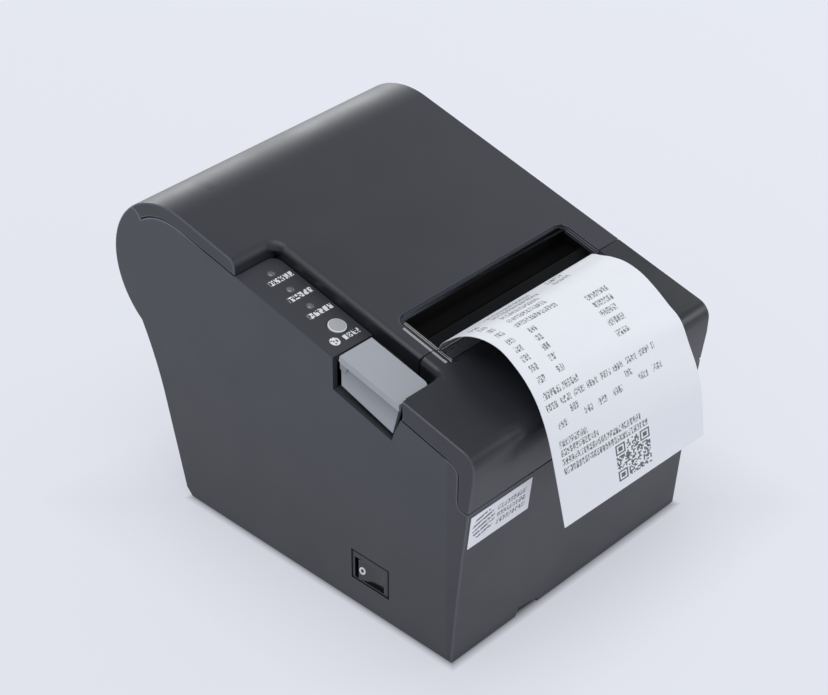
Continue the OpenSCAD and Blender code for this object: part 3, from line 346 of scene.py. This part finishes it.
def panel_marks_and_shade(t, colour):
    """Case: random white marks beside each lamp and beside the button.

    The walls get painted shade towards the table and at the front left, the opening round the
    switch gets painted shade, and the panel's face is made darker."""
    x, y, z = t.xyz()
    # Painted shade: the walls darken towards the table.
    low = t.remap(z, 0.0, 95.0, 0.45, 0.0)
    colour = t.mix(low, colour, (0.012, 0.013, 0.015))
    # Painted shade on the front wall, strongest at its left end.
    front = t.math("LESS_THAN", y, -70.0)
    left = t.math("MULTIPLY", front, t.remap(x, -62.0, 40.0, 0.4, 0.0))
    colour = t.mix(left, colour, (0.016, 0.017, 0.020))
    # Painted shade in the opening round the switch.
    opening = t.math("MULTIPLY", t.box(y, z, *SWITCH_Y, *SWITCH_Z), t.inside(x, -62.3, -52.0))
    colour = t.mix(t.math("MULTIPLY", opening, 0.85), colour, (0.004, 0.004, 0.005))
    top = t.inside(t.drop(), PANEL_DROP - 0.4, PANEL_DROP + 0.3)
    (x0, x1), (below, above) = LAMP_MARK
    rows = [t.box(x, y, x0, x1, lamp_y + below, lamp_y + above) for lamp_y in LAMP_YS]
    rows.append(t.box(x, y, *BUTTON_MARK))
    inked = t.math("MULTIPLY", t.any(rows), t.glyphs(x, y, 2.2, 0.5, 0.6, 0.72))
    in_dot = t.math("LESS_THAN", t.reach(x, y, BUTTON_DOT), DOT_R)
    dot = t.math("MULTIPLY", in_dot, t.speckle(x, y, 0.6, 0.6, 4.0, 0.8))
    inked = t.math("MULTIPLY", t.math("MAXIMUM", inked, dot), top)
    plate = t.math("MULTIPLY", top, t.box(x, y, WALL_X, PANEL_X, *PANEL_Y))
    colour = t.mix(t.math("MULTIPLY", plate, 0.4), colour, (0.022, 0.023, 0.026))
    return t.mix(inked, colour, (0.80, 0.80, 0.81))


def lever_side_shade(t, colour):
    """The lever's side plate gets painted shade, strongest just under the lip of its top plate."""
    x = t.xyz()[0]
    drop = t.drop()
    under = t.math("MULTIPLY", t.math("LESS_THAN", x, OUTER_X), t.math("GREATER_THAN", drop, 5.45))
    fade = t.remap(drop, 5.4, 14.0, 0.55, 0.12)
    # Painted shade under the lip of the top plate.
    return t.mix(t.math("MULTIPLY", under, fade), colour, (0.10, 0.105, 0.115))


def sunk_frame_shade(t, colour):
    """The switch's frame gets painted shade below its face and along its upper and front edges."""
    x, y, z = t.xyz()
    shadow = t.any([
        t.math("GREATER_THAN", x, -61.9), t.math("LESS_THAN", y, FRAME_EDGE[0]),
        t.math("GREATER_THAN", z, FRAME_EDGE[1]),
    ])
    # Painted shade inside the frame and along its upper and front edges.
    return t.mix(t.math("MULTIPLY", shadow, 0.85), colour, (0.003, 0.003, 0.0035))


def rocker_ring(t, colour):
    """The ring on the off half of the rocker. It is taller than wide."""
    x, y, z = t.xyz()
    dy = t.math("DIVIDE", t.math("SUBTRACT", y, RING_C[0]), 1.2)
    dz = t.math("DIVIDE", t.math("SUBTRACT", z, RING_C[1]), 1.7)
    ring = t.math("MULTIPLY", t.inside(t.hypot(dy, dz), 0.5, 1.0), t.math("LESS_THAN", x, OUTER_X))
    return t.mix(ring, colour, (0.78, 0.78, 0.78))


def metal(name, base, rough, stretch=(1.0, 12.0, 12.0), grain=0.5, depth=0.004):
    """Rolled or ground metal: fine lines along one direction, with dull patches."""
    t = Tree(name)
    lines = t.noise(grain, 3.0, 0.65, t.stretch(t.co(), *stretch))
    cloud = t.noise(9.0, 3.0, 0.6)
    t.color(t.mix(cloud, shade(base, 0.86), shade(base, 1.08)))
    t.metal()
    dull = t.remap(cloud, 0.3, 0.7, rough - 0.08, rough + 0.04)
    t.rough(t.math("MULTIPLY_ADD", lines, 0.16, dull))
    t.bump(lines, depth)
    return t.mat


PAD_PITCH = 2.54         # mm between the board's pads


def circuit(name):
    """Solder-masked board: traces in straight runs under the mask, and tinned pads."""
    t = Tree(name)
    co = t.co()
    x, y, _ = t.xyz(co)
    cell = t.node("ShaderNodeTexVoronoi", distance="MANHATTAN", feature="F1")
    cell.inputs["Scale"].default_value = 0.22
    t.link(co, cell.inputs["Vector"])
    run = t.math("FRACT", t.math("MULTIPLY", cell.outputs["Distance"], 4.2))
    trace = t.math("LESS_THAN", run, 0.28)
    pad_x = t.math("FRACT", t.math("DIVIDE", x, PAD_PITCH))
    pad_y = t.math("FRACT", t.math("DIVIDE", y, PAD_PITCH))
    some = t.math("GREATER_THAN", t.noise(7.0, 1.0), 0.56)
    pad = t.math("MULTIPLY", t.math("LESS_THAN", t.reach(pad_x, pad_y, (0.5, 0.5)), 0.2), some)
    mask = t.mix(trace, (0.012, 0.11, 0.05), (0.02, 0.19, 0.085))
    t.color(t.mix(pad, mask, (0.6, 0.6, 0.58)))
    t.rough(t.math("MULTIPLY_ADD", t.noise(0.6, 2.0), 0.12, 0.24))
    t.bump(t.math("MAXIMUM", trace, pad), 0.03)
    return t.mat


def rubber(name, base, rough=0.78):
    """Matt rubber with a dusty bloom."""
    t = Tree(name)
    cloud = t.noise(6.0, 4.0, 0.65)
    fine = t.noise(0.25, 2.0, 0.7)
    t.color(t.mix(cloud, shade(base, 0.8), shade(base, 1.35)))
    dull = t.remap(cloud, 0.3, 0.7, rough - 0.06, rough + 0.03)
    t.rough(t.math("MULTIPLY_ADD", fine, 0.12, dull))
    t.bump(fine, 0.02)
    return t.mat


def card(name):
    """Wound grey-brown board with its spiral ply edges."""
    t = Tree(name)
    x = t.xyz()[0]
    fibre = t.noise(0.7, 4.0, 0.7, t.stretch(t.co(), 0.5, 1.0, 1.0))
    ply = t.math("FRACT", t.math("MULTIPLY_ADD", x, 0.05, t.math("MULTIPLY", fibre, 0.15)))
    t.color(t.mix(t.math("LESS_THAN", ply, 0.03), (0.42, 0.29, 0.165), (0.25, 0.165, 0.09)))
    t.rough(t.remap(fibre, 0.2, 0.8, 0.8, 0.94))
    t.bump(fibre, 0.06)
    return t.mat


def roll_paper(name):
    """Side of a wound roll: hair-thin rings, and smooth coated paper round the outside."""
    t = Tree(name)
    _, y, z = t.xyz()
    rings = t.node("ShaderNodeTexNoise", noise_dimensions="1D")
    rings.inputs["Scale"].default_value = 3.2
    rings.inputs["Detail"].default_value = 5.0
    t.link(t.reach(y, z, ROLL_C), rings.inputs["W"])
    t.color(t.mix(rings.outputs[0], (0.60, 0.61, 0.64), (0.74, 0.75, 0.78)))
    t.rough(t.remap(rings.outputs[0], 0.2, 0.8, 0.5, 0.62))
    t.bump(rings.outputs[0], 0.05)
    return t.mat


def paper(name, light, ink=None):
    """Smooth coated paper with its fibre, and print where ink(tree) says."""
    t = Tree(name)
    fibre = t.noise(0.35, 4.0, 0.7)
    cloud = t.noise(6.0, 2.0)
    colour = t.mix(cloud, shade(light, 0.985), shade(light, 1.01))
    if ink is not None:
        mask, dark = ink(t)
        colour = t.mix(mask, colour, dark)
    t.color(colour)
    t.rough(t.remap(fibre, 0.2, 0.8, 0.48, 0.6))
    t.bump(fibre, 0.008)
    t.bsdf.inputs["Specular IOR Level"].default_value = 0.3
    return t.mat


# Printed rows of the slip: middle of the row along the paper, then the spans across it, in mm
SLIP_ROWS = (
    (12.9, (-15, 10), (20, 29)),
    (16.8, (-27, -22), (-15, 11), (20, 29)),
    (20.8, (-26, -22), (-14, 7)),
    (24.9, (-25.5, -22), (-15, 6)),
    (29.0, (-26, -22), (-16, 7)),
    (33.9, (-26, -22), (-14, -10), (18.5, 31)),
    (37.9, (-26, -22), (-14.5, -11), (18.5, 29)),
    (41.8, (-26.5, -22.5), (-15, -11.5), (18, 27)),
    (46.0, (-26, -22), (-15.5, -12), (18, 27)),
    (50.6, (-26, -22), (-15.5, -12), (18, 25)),
    (56.2, (-27, -18), (-17, -8.5)),
    (64.3, (-17, -13), (13, 17)),
    (67.8, (-25, -20), (-11, -6.5), (-3.5, 1), (4.5, 10), (19, 24), (27, 32)),
    (74.1, (-26.7, -12)),
    (77.3, (-26.7, -7)),
    (80.7, (-26.7, 15)),
    (84.1, (-26.7, 18.5)),
)
ROW_HALF = 1.25          # half the height of a row
TABLE_ROW = (-27.6, 31.5, 59.2, 61.6)    # one wide row of words: spans across and along the slip
TABLE_PITCH = 7.2
WORD_SHARE = 0.78        # of a pitch that a word fills
SLIP_CODE = (0.0, 18.6, 86.2, 100.2)     # the square patch: spans across and along the slip
CODE_CELLS = 25
CODE_CORNERS = ((0, 0), (18, 0), (0, 18))


def slip_ink(t):
    """Print of the slip in rows, and a square patch of random cells. None of it can be read."""
    u = t.attribute("place")
    v = t.attribute("run")
    spans = []
    for mid, *words in SLIP_ROWS:
        band = t.inside(v, mid - ROW_HALF, mid + ROW_HALF)
        spans.append(t.math("MULTIPLY", band, t.any([t.inside(u, a, b) for a, b in words])))
    place = t.math("DIVIDE", t.math("SUBTRACT", u, TABLE_ROW[0]), TABLE_PITCH)
    grouped = t.math("LESS_THAN", t.math("FRACT", place), WORD_SHARE)
    spans.append(t.math("MULTIPLY", t.box(u, v, *TABLE_ROW), grouped))
    print_mask = t.math("MULTIPLY", t.any(spans), t.glyphs(u, v, 1.55, 0.3, 0.42, 0.58))
    u0, u1, v0, v1 = SLIP_CODE
    cell_u, cell_v = (u1 - u0) / CODE_CELLS, (v1 - v0) / CODE_CELLS
    cu = t.math("SUBTRACT", u, u0)
    cv = t.math("SUBTRACT", v, v0)
    ku = t.math("DIVIDE", cu, cell_u)
    kv = t.math("DIVIDE", cv, cell_v)
    patch = t.math("MULTIPLY", t.speckle(cu, cv, cell_u, cell_v, 5.0, 0.5), t.box(u, v, *SLIP_CODE))
    for a, b in CODE_CORNERS:
        clear = t.box(ku, kv, a - 1, a + 8, b - 1, b + 8)
        outer = t.box(ku, kv, a, a + 7, b, b + 7)
        inner = t.box(ku, kv, a + 1, a + 6, b + 1, b + 6)
        heart = t.box(ku, kv, a + 2, a + 5, b + 2, b + 5)
        patch = t.math("MULTIPLY", patch, t.math("SUBTRACT", 1.0, clear))
        ring = t.math("MAXIMUM", t.math("SUBTRACT", outer, inner), heart)
        patch = t.math("MAXIMUM", patch, ring)
    print_mask = t.math("MULTIPLY", print_mask, 0.84)
    return t.math("MAXIMUM", print_mask, t.math("MULTIPLY", patch, 0.88)), (0.045, 0.046, 0.052)


def label_ink(t):
    """A striped disc and rows of marks on the front label."""
    x, _, z = t.xyz()
    u = t.math("SUBTRACT", x, LABEL_C[0])
    v = t.math("SUBTRACT", z, LABEL_C[1])
    slant = t.math("MULTIPLY_ADD", u, -0.2, v)
    stripe = t.math("LESS_THAN", t.math("FRACT", t.math("DIVIDE", slant, 2.1)), 0.5)
    disc = t.math("MULTIPLY", t.math("LESS_THAN", t.reach(u, v, DISC_C), DISC_R), stripe)
    disc = t.math("MULTIPLY", disc, t.speckle(u, v, 0.8, 0.5, 3.0, 0.82))
    rows = t.any([
        t.box(u, v, *LABEL_MARKS, mid - LABEL_ROW_HALF, mid + LABEL_ROW_HALF) for mid in LABEL_ROWS
    ])
    words = t.math("MULTIPLY", rows, t.glyphs(u, v, 1.6, 0.36, 0.5, 0.6))
    return t.math("MULTIPLY", t.math("MAXIMUM", disc, words), 0.82), (0.12, 0.08, 0.115)


def lens(name):
    """Smoky, glossy lamp lenses, unlit."""
    t = Tree(name)
    cloud = t.noise(0.9, 2.0)
    t.color(t.mix(cloud, (0.05, 0.052, 0.056), (0.17, 0.174, 0.182)))
    t.rough(t.remap(cloud, 0.3, 0.7, 0.14, 0.24))
    t.bsdf.inputs["Coat Weight"].default_value = 0.7
    t.bsdf.inputs["Coat Roughness"].default_value = 0.05
    return t.mat


PAPER = (0.84, 0.853, 0.885)
MATS = {
    "case": plastic("case_plastic", (0.043, 0.0468, 0.0565), 0.40, detail=panel_marks_and_shade),
    "lid": plastic("lid_plastic", (0.0250, 0.0275, 0.0350), 0.38, detail=slot_painted_light),
    "cover": plastic("cover_plastic", (0.0185, 0.0202, 0.0250), 0.30, depth=0.008,
                     detail=slot_painted_light),
    "inner": plastic("inner_plastic", (0.012, 0.0122, 0.013), 0.52, depth=0.02, ease=0.3),
    # Black plastic of the guard, made darker still as painted shade inside the slot.
    "slot": plastic("slot_plastic", (0.0012, 0.0012, 0.0014), 0.75, depth=0.02, gloss=0.08),
    "grey": plastic("grey_plastic", (0.42, 0.43, 0.445), 0.42, depth=0.01, vary=0.04),
    "bezel": plastic("bezel_plastic", (0.030, 0.0325, 0.039), 0.40, detail=sunk_frame_shade),
    "switch": plastic("switch_plastic", (0.017, 0.018, 0.021), 0.22, depth=0.004, coat=0.3,
                      detail=rocker_ring),
    "lever": plastic("lever_plastic", (0.38, 0.40, 0.43), 0.40, depth=0.01, vary=0.04,
                     detail=lever_side_shade),
    "gear": plastic("acetal", (0.62, 0.60, 0.54), 0.38, depth=0.01, vary=0.03),
    "ceramic": plastic("head_ceramic", (0.74, 0.72, 0.66), 0.22, depth=0.004, vary=0.03),
    "film": plastic("cable_film", (0.70, 0.67, 0.58), 0.35, depth=0.01, vary=0.05),
    "part": plastic("component", (0.02, 0.02, 0.022), 0.45, depth=0.02),
    "feet": rubber("foot_rubber", (0.014, 0.014, 0.015)),
    "platen": rubber("platen_rubber", (0.012, 0.0125, 0.014), 0.6),
    "steel": metal("zinc_steel", (0.56, 0.57, 0.58), 0.36),
    "bar": metal("blackened_steel", (0.009, 0.0095, 0.011), 0.42, (12.0, 1.0, 1.0)),
    "shaft": metal("ground_steel", (0.63, 0.64, 0.66), 0.24, (12.0, 1.0, 1.0)),
    "blade": metal("blade_steel", (0.50, 0.51, 0.53), 0.28, (12.0, 1.0, 1.0)),
    "alu": metal("extruded_aluminium", (0.60, 0.61, 0.63), 0.4, (1.0, 9.0, 9.0)),
    "bronze": metal("sintered_bronze", (0.58, 0.40, 0.19), 0.42, (1.0, 1.0, 1.0)),
    "tin": metal("tinned_shield", (0.58, 0.59, 0.61), 0.3, (1.0, 6.0, 1.0)),
    "circuit": circuit("solder_mask"),
    "card": card("core_board"),
    "roll": roll_paper("roll_side"),
    "paper": paper("thermal_paper", PAPER),
    "slip": paper("printed_slip", PAPER, slip_ink),
    "label": paper("printed_label", (0.92, 0.925, 0.955), label_ink),
    "lens": lens("lamp_lens"),
}

FINISH = {
    "case": ["case_shell"],
    "lid": ["lid_cover"],
    "cover": ["front_cover"],
    "inner": ["bottom_plate", "roll_bucket", "lid_frame", "power_socket", "drawer_socket"],
    "slot": ["platen_guard"],
    "grey": ["feed_button"],
    "lever": ["release_lever"],
    "bezel": ["switch_bezel"],
    "switch": ["power_rocker"],
    "gear": ["platen_gear", "idler_gear"],
    "ceramic": ["print_head"],
    "film": ["head_cable"],
    "part": ["board_parts", "paper_sensor"],
    "feet": ["rubber_feet"],
    "platen": ["platen_roller", "cutter_wheel"],
    "steel": ["case_screws", "io_bracket", "mech_frame", "head_bridge", "stepper_motor",
              "cutter_frame", "cutter_motor", "latch_hooks", "head_springs"],
    "bar": ["tear_bar"],
    "shaft": ["idler_stud", "hinge_pins", "lever_pin", "latch_shaft", "platen_shaft"],
    "blade": ["cutter_blade"],
    "alu": ["head_heatsink"],
    "bronze": ["platen_bushes", "motor_pinion"],
    "tin": ["usb_socket", "lan_socket"],
    "circuit": ["main_board", "panel_board"],
    "card": ["roll_core"],
    "roll": ["paper_roll"],
    "paper": ["paper_web"],
    "slip": ["receipt"],
    "label": ["front_label"],
    "lens": ["led_lenses"],
}

for key, names in FINISH.items():
    for n in names:
        slots = nodes[n].data.materials
        if len(slots) == 0:
            slots.append(MATS[key])
        for i in range(len(slots)):
            slots[i] = MATS[key]


# ------------------------------------------------------------------ softened mouldings

CREASE = 28.0            # degrees between two faces from which their edge is rounded
HARD_EDGE = 34.0         # and from which it is shaded as an edge after that


def piece(name, mesh, mat, body):
    """Makes an object of a mesh, in one finish, riding on a body."""
    obj = bpy.data.objects.new(name, mesh)
    bpy.context.scene.collection.objects.link(obj)
    mesh.materials.clear()
    mesh.materials.append(mat)
    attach(obj, body)
    return obj


def settle(obj):
    """Turns an object's modifiers into its mesh."""
    deps = bpy.context.evaluated_depsgraph_get()
    mesh = bpy.data.meshes.new_from_object(obj.evaluated_get(deps))
    old = obj.data
    obj.modifiers.clear()
    obj.data = mesh
    bpy.data.meshes.remove(old)


def bevelled(bm, edges, offset, segments, mark, **options):
    """Rounds edges, and gives the new faces the value mark in the layer "edge"."""
    layer = bm.faces.layers.float.get("edge") or bm.faces.layers.float.new("edge")
    made = bmesh.ops.bevel(
        bm, geom=edges, offset=offset * MM, offset_type="OFFSET", segments=segments,
        profile=0.5, affect="EDGES", **options,
    )
    for f in made["faces"]:
        f[layer] = mark


def crisp(bm):
    """Edges between faces that meet at more than the crease angle."""
    limit = math.radians(CREASE)
    return [e for e in bm.edges if len(e.link_faces) == 2 and e.calc_face_angle(0.0) > limit]


def softened(node, radius, mat, passes=(), segments=3):
    """A copy of a moulding with its sharp edges rounded.

    Each of the passes is (test, radius, segments, mark) and comes first. test(a, b) gets an
    edge's two ends in mm and says whether the pass rounds it."""
    src = nodes[node]
    bm = bmesh.new()
    bm.from_mesh(src.data)
    bmesh.ops.remove_doubles(bm, verts=bm.verts, dist=2e-6)
    bmesh.ops.dissolve_limit(
        bm, angle_limit=math.radians(0.6), verts=bm.verts, edges=bm.edges, delimit=set()
    )
    bmesh.ops.recalc_face_normals(bm, faces=bm.faces)
    for test, size, steps, mark in passes:
        chosen = [e for e in crisp(bm) if test(e.verts[0].co / MM, e.verts[1].co / MM)]
        bevelled(bm, chosen, size, steps, mark, clamp_overlap=False, miter_outer="ARC")
    bevelled(bm, crisp(bm), radius, segments, 1.0, clamp_overlap=True, miter_outer="SHARP")
    mesh = bpy.data.meshes.new(node + "_soft")
    for f in bm.faces:
        f.smooth = True
    bm.to_mesh(mesh)
    bm.free()
    mesh.set_sharp_from_angle(angle=math.radians(HARD_EDGE))
    obj = piece(node + "_soft", mesh, mat, src["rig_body"])
    obj.modifiers.new("weight", "WEIGHTED_NORMAL").keep_sharp = True
    settle(obj)
    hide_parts(node)


def on_side(a, b):
    """Edges of the outline seen from the side, where it meets the side walls."""
    return abs(a.x) > 62.45 and abs(b.x) > 62.45


def on_rim(a, b):
    """Edges of the steps round the slot."""
    return all(
        SLOT_X[0] - 5 < p.x < SLOT_X[1] + 1.6 and SLOT_Y[0] - 4 < p.y < SLOT_Y[1] + 1.4
        and -0.1 < on_top(p.y) - p.z < 2.4
        for p in (a, b)
    )


def case_side(a, b):
    """The same for the case, apart from the lever's window and the switch's opening."""
    for p in (a, b):
        by_lever = p.x < 0 and -50.5 < p.y < -15 and p.z > 78
        by_switch = p.x < 0 and -45 < p.y < -21 and 9 < p.z < 28
        if by_lever or by_switch:
            return False
    return on_side(a, b)


def lid_wide(a, b):
    """The lid's top edges along the control panel and the lever."""
    for p in (a, b):
        if abs(p.z - on_top(p.y)) > 0.15 or p.x > PANEL_X + 0.3 or p.y > PANEL_Y[1] + 0.3:
            return False
        if p.x < PANEL_X - 0.3 and p.y < PANEL_Y[1] - 6:
            return False
    return True


def cover_wide(a, b):
    """The front cover's top edge beside the lever."""
    return all(
        abs(p.z - on_top(p.y)) < 0.15 and PANEL_X - 2.5 < p.x < PANEL_X + 0.3
        and p.y > COVER_REAR_Y - 0.6
        for p in (a, b)
    )


side_pass = (on_side, 0.5, 3, 1.0)
rim_pass = (on_rim, 0.16, 2, 1.0)
softened("lid_cover", 0.35, MATS["lid"], [(lid_wide, 3.0, 7, 0.0), side_pass, rim_pass])
softened("case_shell", 0.35, MATS["case"], [(case_side, 0.5, 3, 1.0)])
softened("front_cover", 0.35, MATS["cover"], [(cover_wide, 3.0, 7, 0.0), side_pass, rim_pass])
softened("release_lever", 0.3, MATS["lever"])
softened("feed_button", 0.35, MATS["grey"])
softened("switch_bezel", 0.3, MATS["bezel"])
softened("power_rocker", 0.35, MATS["switch"])

# ------------------------------------------------------------------ printed slip

NIP = (-30.291, 91.0875)     # y and z where the paper leaves the platen
CUT = 10.6                   # from there to the slip's cut end
PAPER_RISE = math.radians(30)


def at_nip(w):
    """A point w mm past the nip along the paper's straight run, in the side view."""
    return (NIP[0] - 0.5 * w, NIP[1] + math.cos(PAPER_RISE) * w)


# The slip's two edges in the side view, y and z
SLIP_LEFT = (
    at_nip(CUT), at_nip(15.5), (-41.7, 107.8), (-45.6, 110.9), (-51.3, 113.9), (-58.2, 115.5),
    (-64.9, 115), (-71.3, 111.9), (-77.4, 107.2), (-82.6, 100.7), (-87.1, 91.4), (-90.9, 79.3),
    (-96.6, 57.9),
)
SLIP_RIGHT = (
    at_nip(CUT), at_nip(14.5), (-42, 105.2), (-47.2, 106.8), (-53.7, 107.6), (-60.8, 106.3),
    (-67.5, 103.1), (-73.8, 99.1), (-79.8, 95.1), (-84.5, 87), (-88.8, 78.9), (-91.8, 70),
    (-94.4, 52.7),
)
SLIP_DRIFT = -2.0            # sideways shift of the free end


def smooth_path(points, steps):
    """A curve through points of the side view, as part.scad draws it."""
    pts = [Vector((0.0, *p)) for p in points]
    out = []
    for i in range(len(pts) - 1):
        a, b = pts[max(i - 1, 0)], pts[i]
        c, d = pts[i + 1], pts[min(i + 2, len(pts) - 1)]
        for k in range(steps):
            t = k / steps
            out.append(
                (b * 2 + (c - a) * t + (a * 2 - b * 5 + c * 4 - d) * t**2
                 + (b * 3 - a - c * 3 + d) * t**3) * 0.5
            )
    out.append(pts[-1])
    return out


def lengths(path):
    """Distance of each point of a path from its start."""
    total = [0.0]
    for a, b in zip(path, path[1:]):
        total.append(total[-1] + (b - a).length)
    return total


def printed_slip(steps=8, across=36):
    """The slip as one thin closed sheet, which stores each point's place on the flat paper."""
    left, right = smooth_path(SLIP_LEFT, steps), smooth_path(SLIP_RIGHT, steps)
    run_l, run_r = lengths(left), lengths(right)
    lag = run_l[-1] - run_r[-1]
    rows = len(left)
    grid, runs, places = [], [], []
    for i in range(rows):
        for j in range(across + 1):
            f = j / across
            p = left[i].lerp(right[i], f)
            places.append(PAPER_X[0] + (PAPER_X[1] - PAPER_X[0]) * f)
            p.x = places[-1] + SLIP_DRIFT * i / (rows - 1)
            grid.append(p)
            runs.append(run_l[i] * (1 - f) + (run_r[i] + lag) * f)
    wide = across + 1

    def normal(i, j):
        along = grid[min(i + 1, rows - 1) * wide + j] - grid[max(i - 1, 0) * wide + j]
        side = grid[i * wide + min(j + 1, across)] - grid[i * wide + max(j - 1, 0)]
        return side.cross(along).normalized()

    lift = [normal(i, j) * (PAPER_T / 2) for i in range(rows) for j in range(wide)]
    verts = [(p + up) * MM for p, up in zip(grid, lift)]
    verts += [(p - up) * MM for p, up in zip(grid, lift)]
    n = len(grid)
    faces = []
    for i in range(rows - 1):
        for j in range(across):
            a = i * wide + j
            q = (a, a + 1, a + wide + 1, a + wide)
            faces.append(q)
            faces.append(tuple(n + k for k in reversed(q)))
    rim = list(range(wide)) + [i * wide + across for i in range(1, rows)]
    rim += [(rows - 1) * wide + j for j in range(across - 1, -1, -1)]
    rim += [i * wide for i in range(rows - 2, 0, -1)]
    for a, b in zip(rim, rim[1:] + rim[:1]):
        faces.append((b, a, n + a, n + b))
    mesh = bpy.data.meshes.new("printed_slip")
    mesh.from_pydata(verts, [], faces)
    mesh.attributes.new("run", "FLOAT", "POINT").data.foreach_set("value", runs + runs)
    mesh.attributes.new("place", "FLOAT", "POINT").data.foreach_set("value", places + places)
    bm = bmesh.new()
    bm.from_mesh(mesh)
    bmesh.ops.recalc_face_normals(bm, faces=bm.faces)
    for f in bm.faces:
        f.smooth = True
    bm.to_mesh(mesh)
    bm.free()
    mesh.set_sharp_from_angle(angle=math.radians(40))
    slip = piece("printed_slip", mesh, MATS["slip"], nodes["receipt"]["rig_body"])
    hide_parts("receipt")


printed_slip()

# ------------------------------------------------------------------ studio


def light(name, kind, at, look, power, size=None, angle=None, diffuse=True):
    """A soft light that points from at to look, both in metres. Without diffuse it only gleams."""
    data = bpy.data.lights.new(name, kind)
    if size is not None:
        data.shape = "RECTANGLE"
        data.size, data.size_y = size
    if angle is not None:
        data.angle = math.radians(angle)
    data.energy = power
    obj = bpy.data.objects.new(name, data)
    bpy.context.scene.collection.objects.link(obj)
    obj.location = at
    obj.rotation_euler = (Vector(look) - Vector(at)).to_track_quat("-Z", "Y").to_euler()
    obj.visible_diffuse = diffuse


CAMERA_AT = (-486.9, -459.3, 533.8)
CAMERA_DOWN = 34.77          # degrees below the horizon
CAMERA_TURN = -46.38
FLOOR_HALF = 6.0             # metres
CASE_HALF = (61.5, 67.5)     # of the floor's patch under the printer, in mm, where the painted shadow lies
CASE_MID_Y = -5.0


def camera():
    """The photo's camera."""
    data = bpy.data.cameras.new("camera")
    data.sensor_width = 36.0
    data.lens = 96.53
    data.clip_end = 20.0
    cam = bpy.data.objects.new("camera", data)
    bpy.context.scene.collection.objects.link(cam)
    cam.location = vec(*CAMERA_AT)
    cam.rotation_euler = (math.radians(90 - CAMERA_DOWN), 0.0, math.radians(CAMERA_TURN))
    bpy.context.scene.camera = cam


def ground():
    """A pale floor that glows a little, with a painted shadow: no glow under the printer, less near
    it.
    """
    mesh = bpy.data.meshes.new("floor")
    s = FLOOR_HALF
    mesh.from_pydata([(-s, -s, 0), (s, -s, 0), (s, s, 0), (-s, s, 0)], [], [(0, 1, 2, 3)])
    floor = bpy.data.objects.new("floor", mesh)
    bpy.context.scene.collection.objects.link(floor)
    t = Tree("floor")
    cloud = t.noise(240.0, 2.0)
    t.color(t.mix(cloud, (0.198, 0.203, 0.217), (0.202, 0.207, 0.221)))
    t.rough(0.8)
    t.bsdf.inputs["Specular IOR Level"].default_value = 0.1
    t.bsdf.inputs["Emission Color"].default_value = (0.78, 0.80, 0.875, 1.0)
    x, y, _ = t.xyz()
    out_x = t.math("SUBTRACT", t.math("ABSOLUTE", x), CASE_HALF[0])
    from_mid = t.math("ABSOLUTE", t.math("SUBTRACT", y, CASE_MID_Y))
    away = t.math("MAXIMUM", out_x, t.math("SUBTRACT", from_mid, CASE_HALF[1]))
    # Painted shadow: the glow stops under the printer and is weaker within 45 mm of it.
    edge = t.remap(away, -2.0, 3.0, 0.0, 1.0)
    glow = t.math("MULTIPLY", edge, t.remap(away, 0.0, 45.0, 0.86, 1.0))
    t.put(t.math("MULTIPLY", glow, 0.75), t.bsdf.inputs["Emission Strength"])
    mesh.materials.append(t.mat)


def lights():
    """A pale sky, a broad key, a weak light at the right and two strips that only gleam."""
    scene = bpy.context.scene
    world = bpy.data.worlds.new("world")
    scene.world = world
    world.use_nodes = True
    back = world.node_tree.nodes["Background"]
    back.inputs[0].default_value = (0.80, 0.83, 0.90, 1.0)
    back.inputs[1].default_value = 0.55
    top = (0.0, 0.0, 0.1)
    light("key", "SUN", (-0.25, -0.1, 1.0), (0, 0, 0), 1.3, angle=55)
    light("right", "AREA", (0.95, -0.6, 0.42), (0.05, -0.05, 0.06), 2.6, size=(0.5, 0.5))
    light("rear_strip", "AREA", (0.95, 1.0, 0.36), top, 9.0, size=(1.7, 0.55), diffuse=False)
    light("edge_strip", "AREA", (1.3, 0.1, 0.36), top, 4.0, size=(0.25, 1.2), diffuse=False)
    scene.view_settings.view_transform = "Standard"


camera()
ground()
lights()
